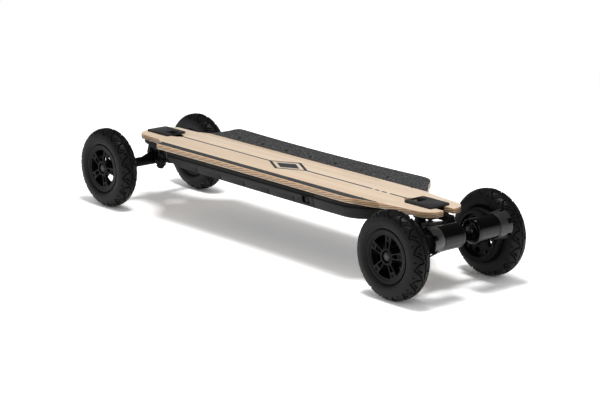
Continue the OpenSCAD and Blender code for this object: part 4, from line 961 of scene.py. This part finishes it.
class MOUNTAINBOARD_OT_enclosures(bpy.types.Operator):
    """Finish both enclosures, their seal, screws, button and socket"""
    bl_idname = "mountainboard.enclosures"
    bl_label = "Enclosures"

    def execute(self, context):
        metal, boxes = context.scene.board_metal, context.scene.board_boxes
        plastic = moulded(boxes)
        for node in ("battery_enclosure", "electronics_enclosure"):
            refined(node, 0.5 * MM, plastic)
        finished("enclosure_seal",
                 coated("seal_rubber", metal.seal, 0.8, grain=500, depth=0.1))
        refined("enclosure_screws", 0.4 * MM, blackened("screw_steel", metal))
        refined("power_button", 0.5 * MM,
                coated("button_plastic", boxes.plastic, 0.38, depth=0.05),
                segments=3)
        finished("charging_socket", coated("socket_plastic", metal.alloy, 0.4))
        return {"FINISHED"}


class MOUNTAINBOARD_OT_inside(bpy.types.Operator):
    """Finish what the enclosures hold"""
    bl_idname = "mountainboard.inside"
    bl_label = "Inside"

    def execute(self, context):
        metal, boxes = context.scene.board_metal, context.scene.board_boxes
        finished("battery_cells",
                 coated("cell_wrap", boxes.cells, 0.4, grain=300, depth=0.03))
        finished("battery_board",
                 coated("circuit_board", boxes.board, 0.45, grain=1500, depth=0.05))
        finished("motor_controller",
                 coated("controller_alloy", metal.steel, 0.42, grain=1200, Metallic=1.0))
        return {"FINISHED"}


class MOUNTAINBOARD_OT_trucks(bpy.types.Operator):
    """Round and finish the plates, bases, links, hangers, kingpins and axles"""
    bl_idname = "mountainboard.trucks"
    bl_label = "Trucks"

    def execute(self, context):
        metal = context.scene.board_metal
        plates = coated("plate_black", metal.plates, 0.45, grain=1300, depth=0.06, vary=0.1)
        alloy = coated("truck_black", metal.alloy, 0.4, grain=1000, depth=0.05, vary=0.15)
        black = blackened("kingpin_steel", metal)
        steel = coated("axle_steel", metal.axle, 0.35, grain=600, depth=0.02, Metallic=1.0)
        bushing = coated("bushing_urethane", metal.urethane, 0.45, grain=260, depth=0.03)
        refined("top_plates", 0.9 * MM, plates, segments=3)
        refined("truck_bases", 0.8 * MM, alloy)
        refined("base_bolts", 0.4 * MM, black)
        refined("base_kingpins", 0.4 * MM, black)
        for end in ENDS:
            refined(f"{end}_link", 0.8 * MM, alloy)
            refined(f"{end}_hanger", 0.9 * MM, alloy)
            refined(f"{end}_hanger_kingpin", 0.4 * MM, black)
            finished(f"{end}_base_bushings", bushing)
            finished(f"{end}_hanger_bushings", bushing)
            refined(f"{end}_axle", 0.5 * MM, steel)
            refined(f"{end}_axle_nuts", 0.5 * MM, black)
        return {"FINISHED"}


class MOUNTAINBOARD_OT_tyres(bpy.types.Operator):
    """Turn the four tyres and press the tread into them"""
    bl_idname = "mountainboard.tyres"
    bl_label = "Tyres"

    def execute(self, context):
        wheels = context.scene.board_wheels
        rubber = tyre_rubber(wheels)
        one = spun(tyre_outline(), wheels.blocks * 44)
        cut_tread(one, wheels)
        bmesh.ops.recalc_face_normals(one, faces=one.faces)
        for corner in CORNERS:
            bm = placed(one.copy(), wheel_place(corner))
            node = f"{corner}_tyre"
            piece(f"{node}_treaded", bm, rubber, body_of(node), [node])
        one.free()
        return {"FINISHED"}


class MOUNTAINBOARD_OT_rims(bpy.types.Operator):
    """Shape both halves of each rim, and finish its bolts and bearings"""
    bl_idname = "mountainboard.rims"
    bl_label = "Rims"

    def execute(self, context):
        wheels, metal = context.scene.board_wheels, context.scene.board_metal
        coat = coated("rim_black", wheels.rim, 0.42, grain=1400, depth=0.05, vary=0.1)
        black = blackened("hub_bolt_steel", metal)
        steel = coated("bearing_steel", metal.axle, 0.35, grain=700, depth=0.01,
                       Metallic=1.0)
        half = rim_half(wheels.spokes)
        for corner in CORNERS:
            phase = wheels.front_phase if corner.startswith("front") else wheels.rear_phase
            place = wheel_place(corner) @ Matrix.Rotation(-phase, 4, "Z")
            inward = place @ Matrix.Diagonal((1, 1, -1, 1))
            for part, matrix in (("outer", place), ("inner", inward)):
                node = f"{corner}_rim_{part}"
                piece(f"{node}_shaped", placed(half.copy(), matrix), coat, body_of(node),
                      [node])
            refined(f"{corner}_hub_bolts", 0.4 * MM, black)
            finished(f"{corner}_bearings", steel)
        half.free()
        return {"FINISHED"}


class MOUNTAINBOARD_OT_drive(bpy.types.Operator):
    """Shape the motors and finish the pulleys, belts and mounts"""
    bl_idname = "mountainboard.drive"
    bl_label = "Drive"

    def execute(self, context):
        metal, wheels = context.scene.board_metal, context.scene.board_wheels
        pulley = coated("pulley_black", metal.alloy, 0.35, depth=0.03)
        belt = coated("belt_rubber", wheels.rubber, 0.6, grain=800, depth=0.05)
        guard = coated("mount_black", metal.guard, 0.3, grain=1100, depth=0.02, vary=0.1,
                       Specular_IOR_Level=0.5)
        paint = coated("motor_black", metal.motor, 0.12, grain=60, depth=0.005, vary=0.1,
                       Specular_IOR_Level=0.3)
        rotor = coated("rotor_steel", metal.steel, 0.35, grain=700, depth=0.02,
                       Metallic=1.0)
        for side in SIDES:
            finished(f"{side}_wheel_pulley", pulley)
            finished(f"{side}_belt", belt)
            finished(f"{side}_motor_rotor", rotor)
            refined(f"{side}_motor_mount", 0.6 * MM, guard)
            node = f"{side}_motor_case"
            bm = placed(motor_can(node), motor_place(node))
            piece(f"{node}_shaped", bm, paint, body_of(node), [node])
        refined("motor_screws", 0.3 * MM, blackened("motor_screw_steel", metal))
        return {"FINISHED"}


class MOUNTAINBOARD_OT_stage(bpy.types.Operator):
    """Set up the camera, the floor and soft studio light"""
    bl_idname = "mountainboard.stage"
    bl_label = "Stage"

    def execute(self, context):
        stage = context.scene.board_stage
        add_camera(stage)
        add_floor(stage)
        add_world(stage)
        add_lamp("key_light", stage.key_place, stage.aim, stage.key_size, stage.key)
        add_lamp("fill_light", stage.fill_place, stage.aim, stage.fill_size, stage.fill)
        context.scene.view_settings.view_transform = "Standard"
        return {"FINISHED"}


# Panel and registration

class MOUNTAINBOARD_PT_panel(bpy.types.Panel):
    """Lists the steps in order, with their settings"""
    bl_label = "Mountainboard"
    bl_idname = "MOUNTAINBOARD_PT_panel"
    bl_space_type = "VIEW_3D"
    bl_region_type = "UI"
    bl_category = "Mountainboard"

    def draw(self, context):
        for step in STEPS:
            self.layout.operator(step.bl_idname)
        for name, group in SETTINGS.items():
            box = self.layout.box()
            box.label(text=group.__doc__)
            values = getattr(context.scene, name)
            for key in group.__annotations__:
                box.prop(values, key)


SETTINGS = {"board_deck": DeckSettings, "board_boxes": BoxSettings,
            "board_wheels": WheelSettings, "board_metal": MetalSettings,
            "board_stage": StageSettings}
STEPS = (MOUNTAINBOARD_OT_deck, MOUNTAINBOARD_OT_enclosures, MOUNTAINBOARD_OT_inside,
         MOUNTAINBOARD_OT_trucks, MOUNTAINBOARD_OT_tyres, MOUNTAINBOARD_OT_rims,
         MOUNTAINBOARD_OT_drive, MOUNTAINBOARD_OT_stage)


def register():
    """Registers every class and puts the settings on the scene."""
    for item in (*SETTINGS.values(), *STEPS, MOUNTAINBOARD_PT_panel):
        bpy.utils.register_class(item)
    for name, group in SETTINGS.items():
        setattr(bpy.types.Scene, name, PointerProperty(type=group))


def unregister():
    """Takes the settings and classes away again."""
    for name in SETTINGS:
        delattr(bpy.types.Scene, name)
    for item in (MOUNTAINBOARD_PT_panel, *reversed(STEPS), *SETTINGS.values()):
        bpy.utils.unregister_class(item)


def main():
    """Runs every step in order."""
    register()
    bpy.ops.mountainboard.deck()
    bpy.ops.mountainboard.enclosures()
    bpy.ops.mountainboard.inside()
    bpy.ops.mountainboard.trucks()
    bpy.ops.mountainboard.tyres()
    bpy.ops.mountainboard.rims()
    bpy.ops.mountainboard.drive()
    bpy.ops.mountainboard.stage()


if __name__ == "__main__":
    main()
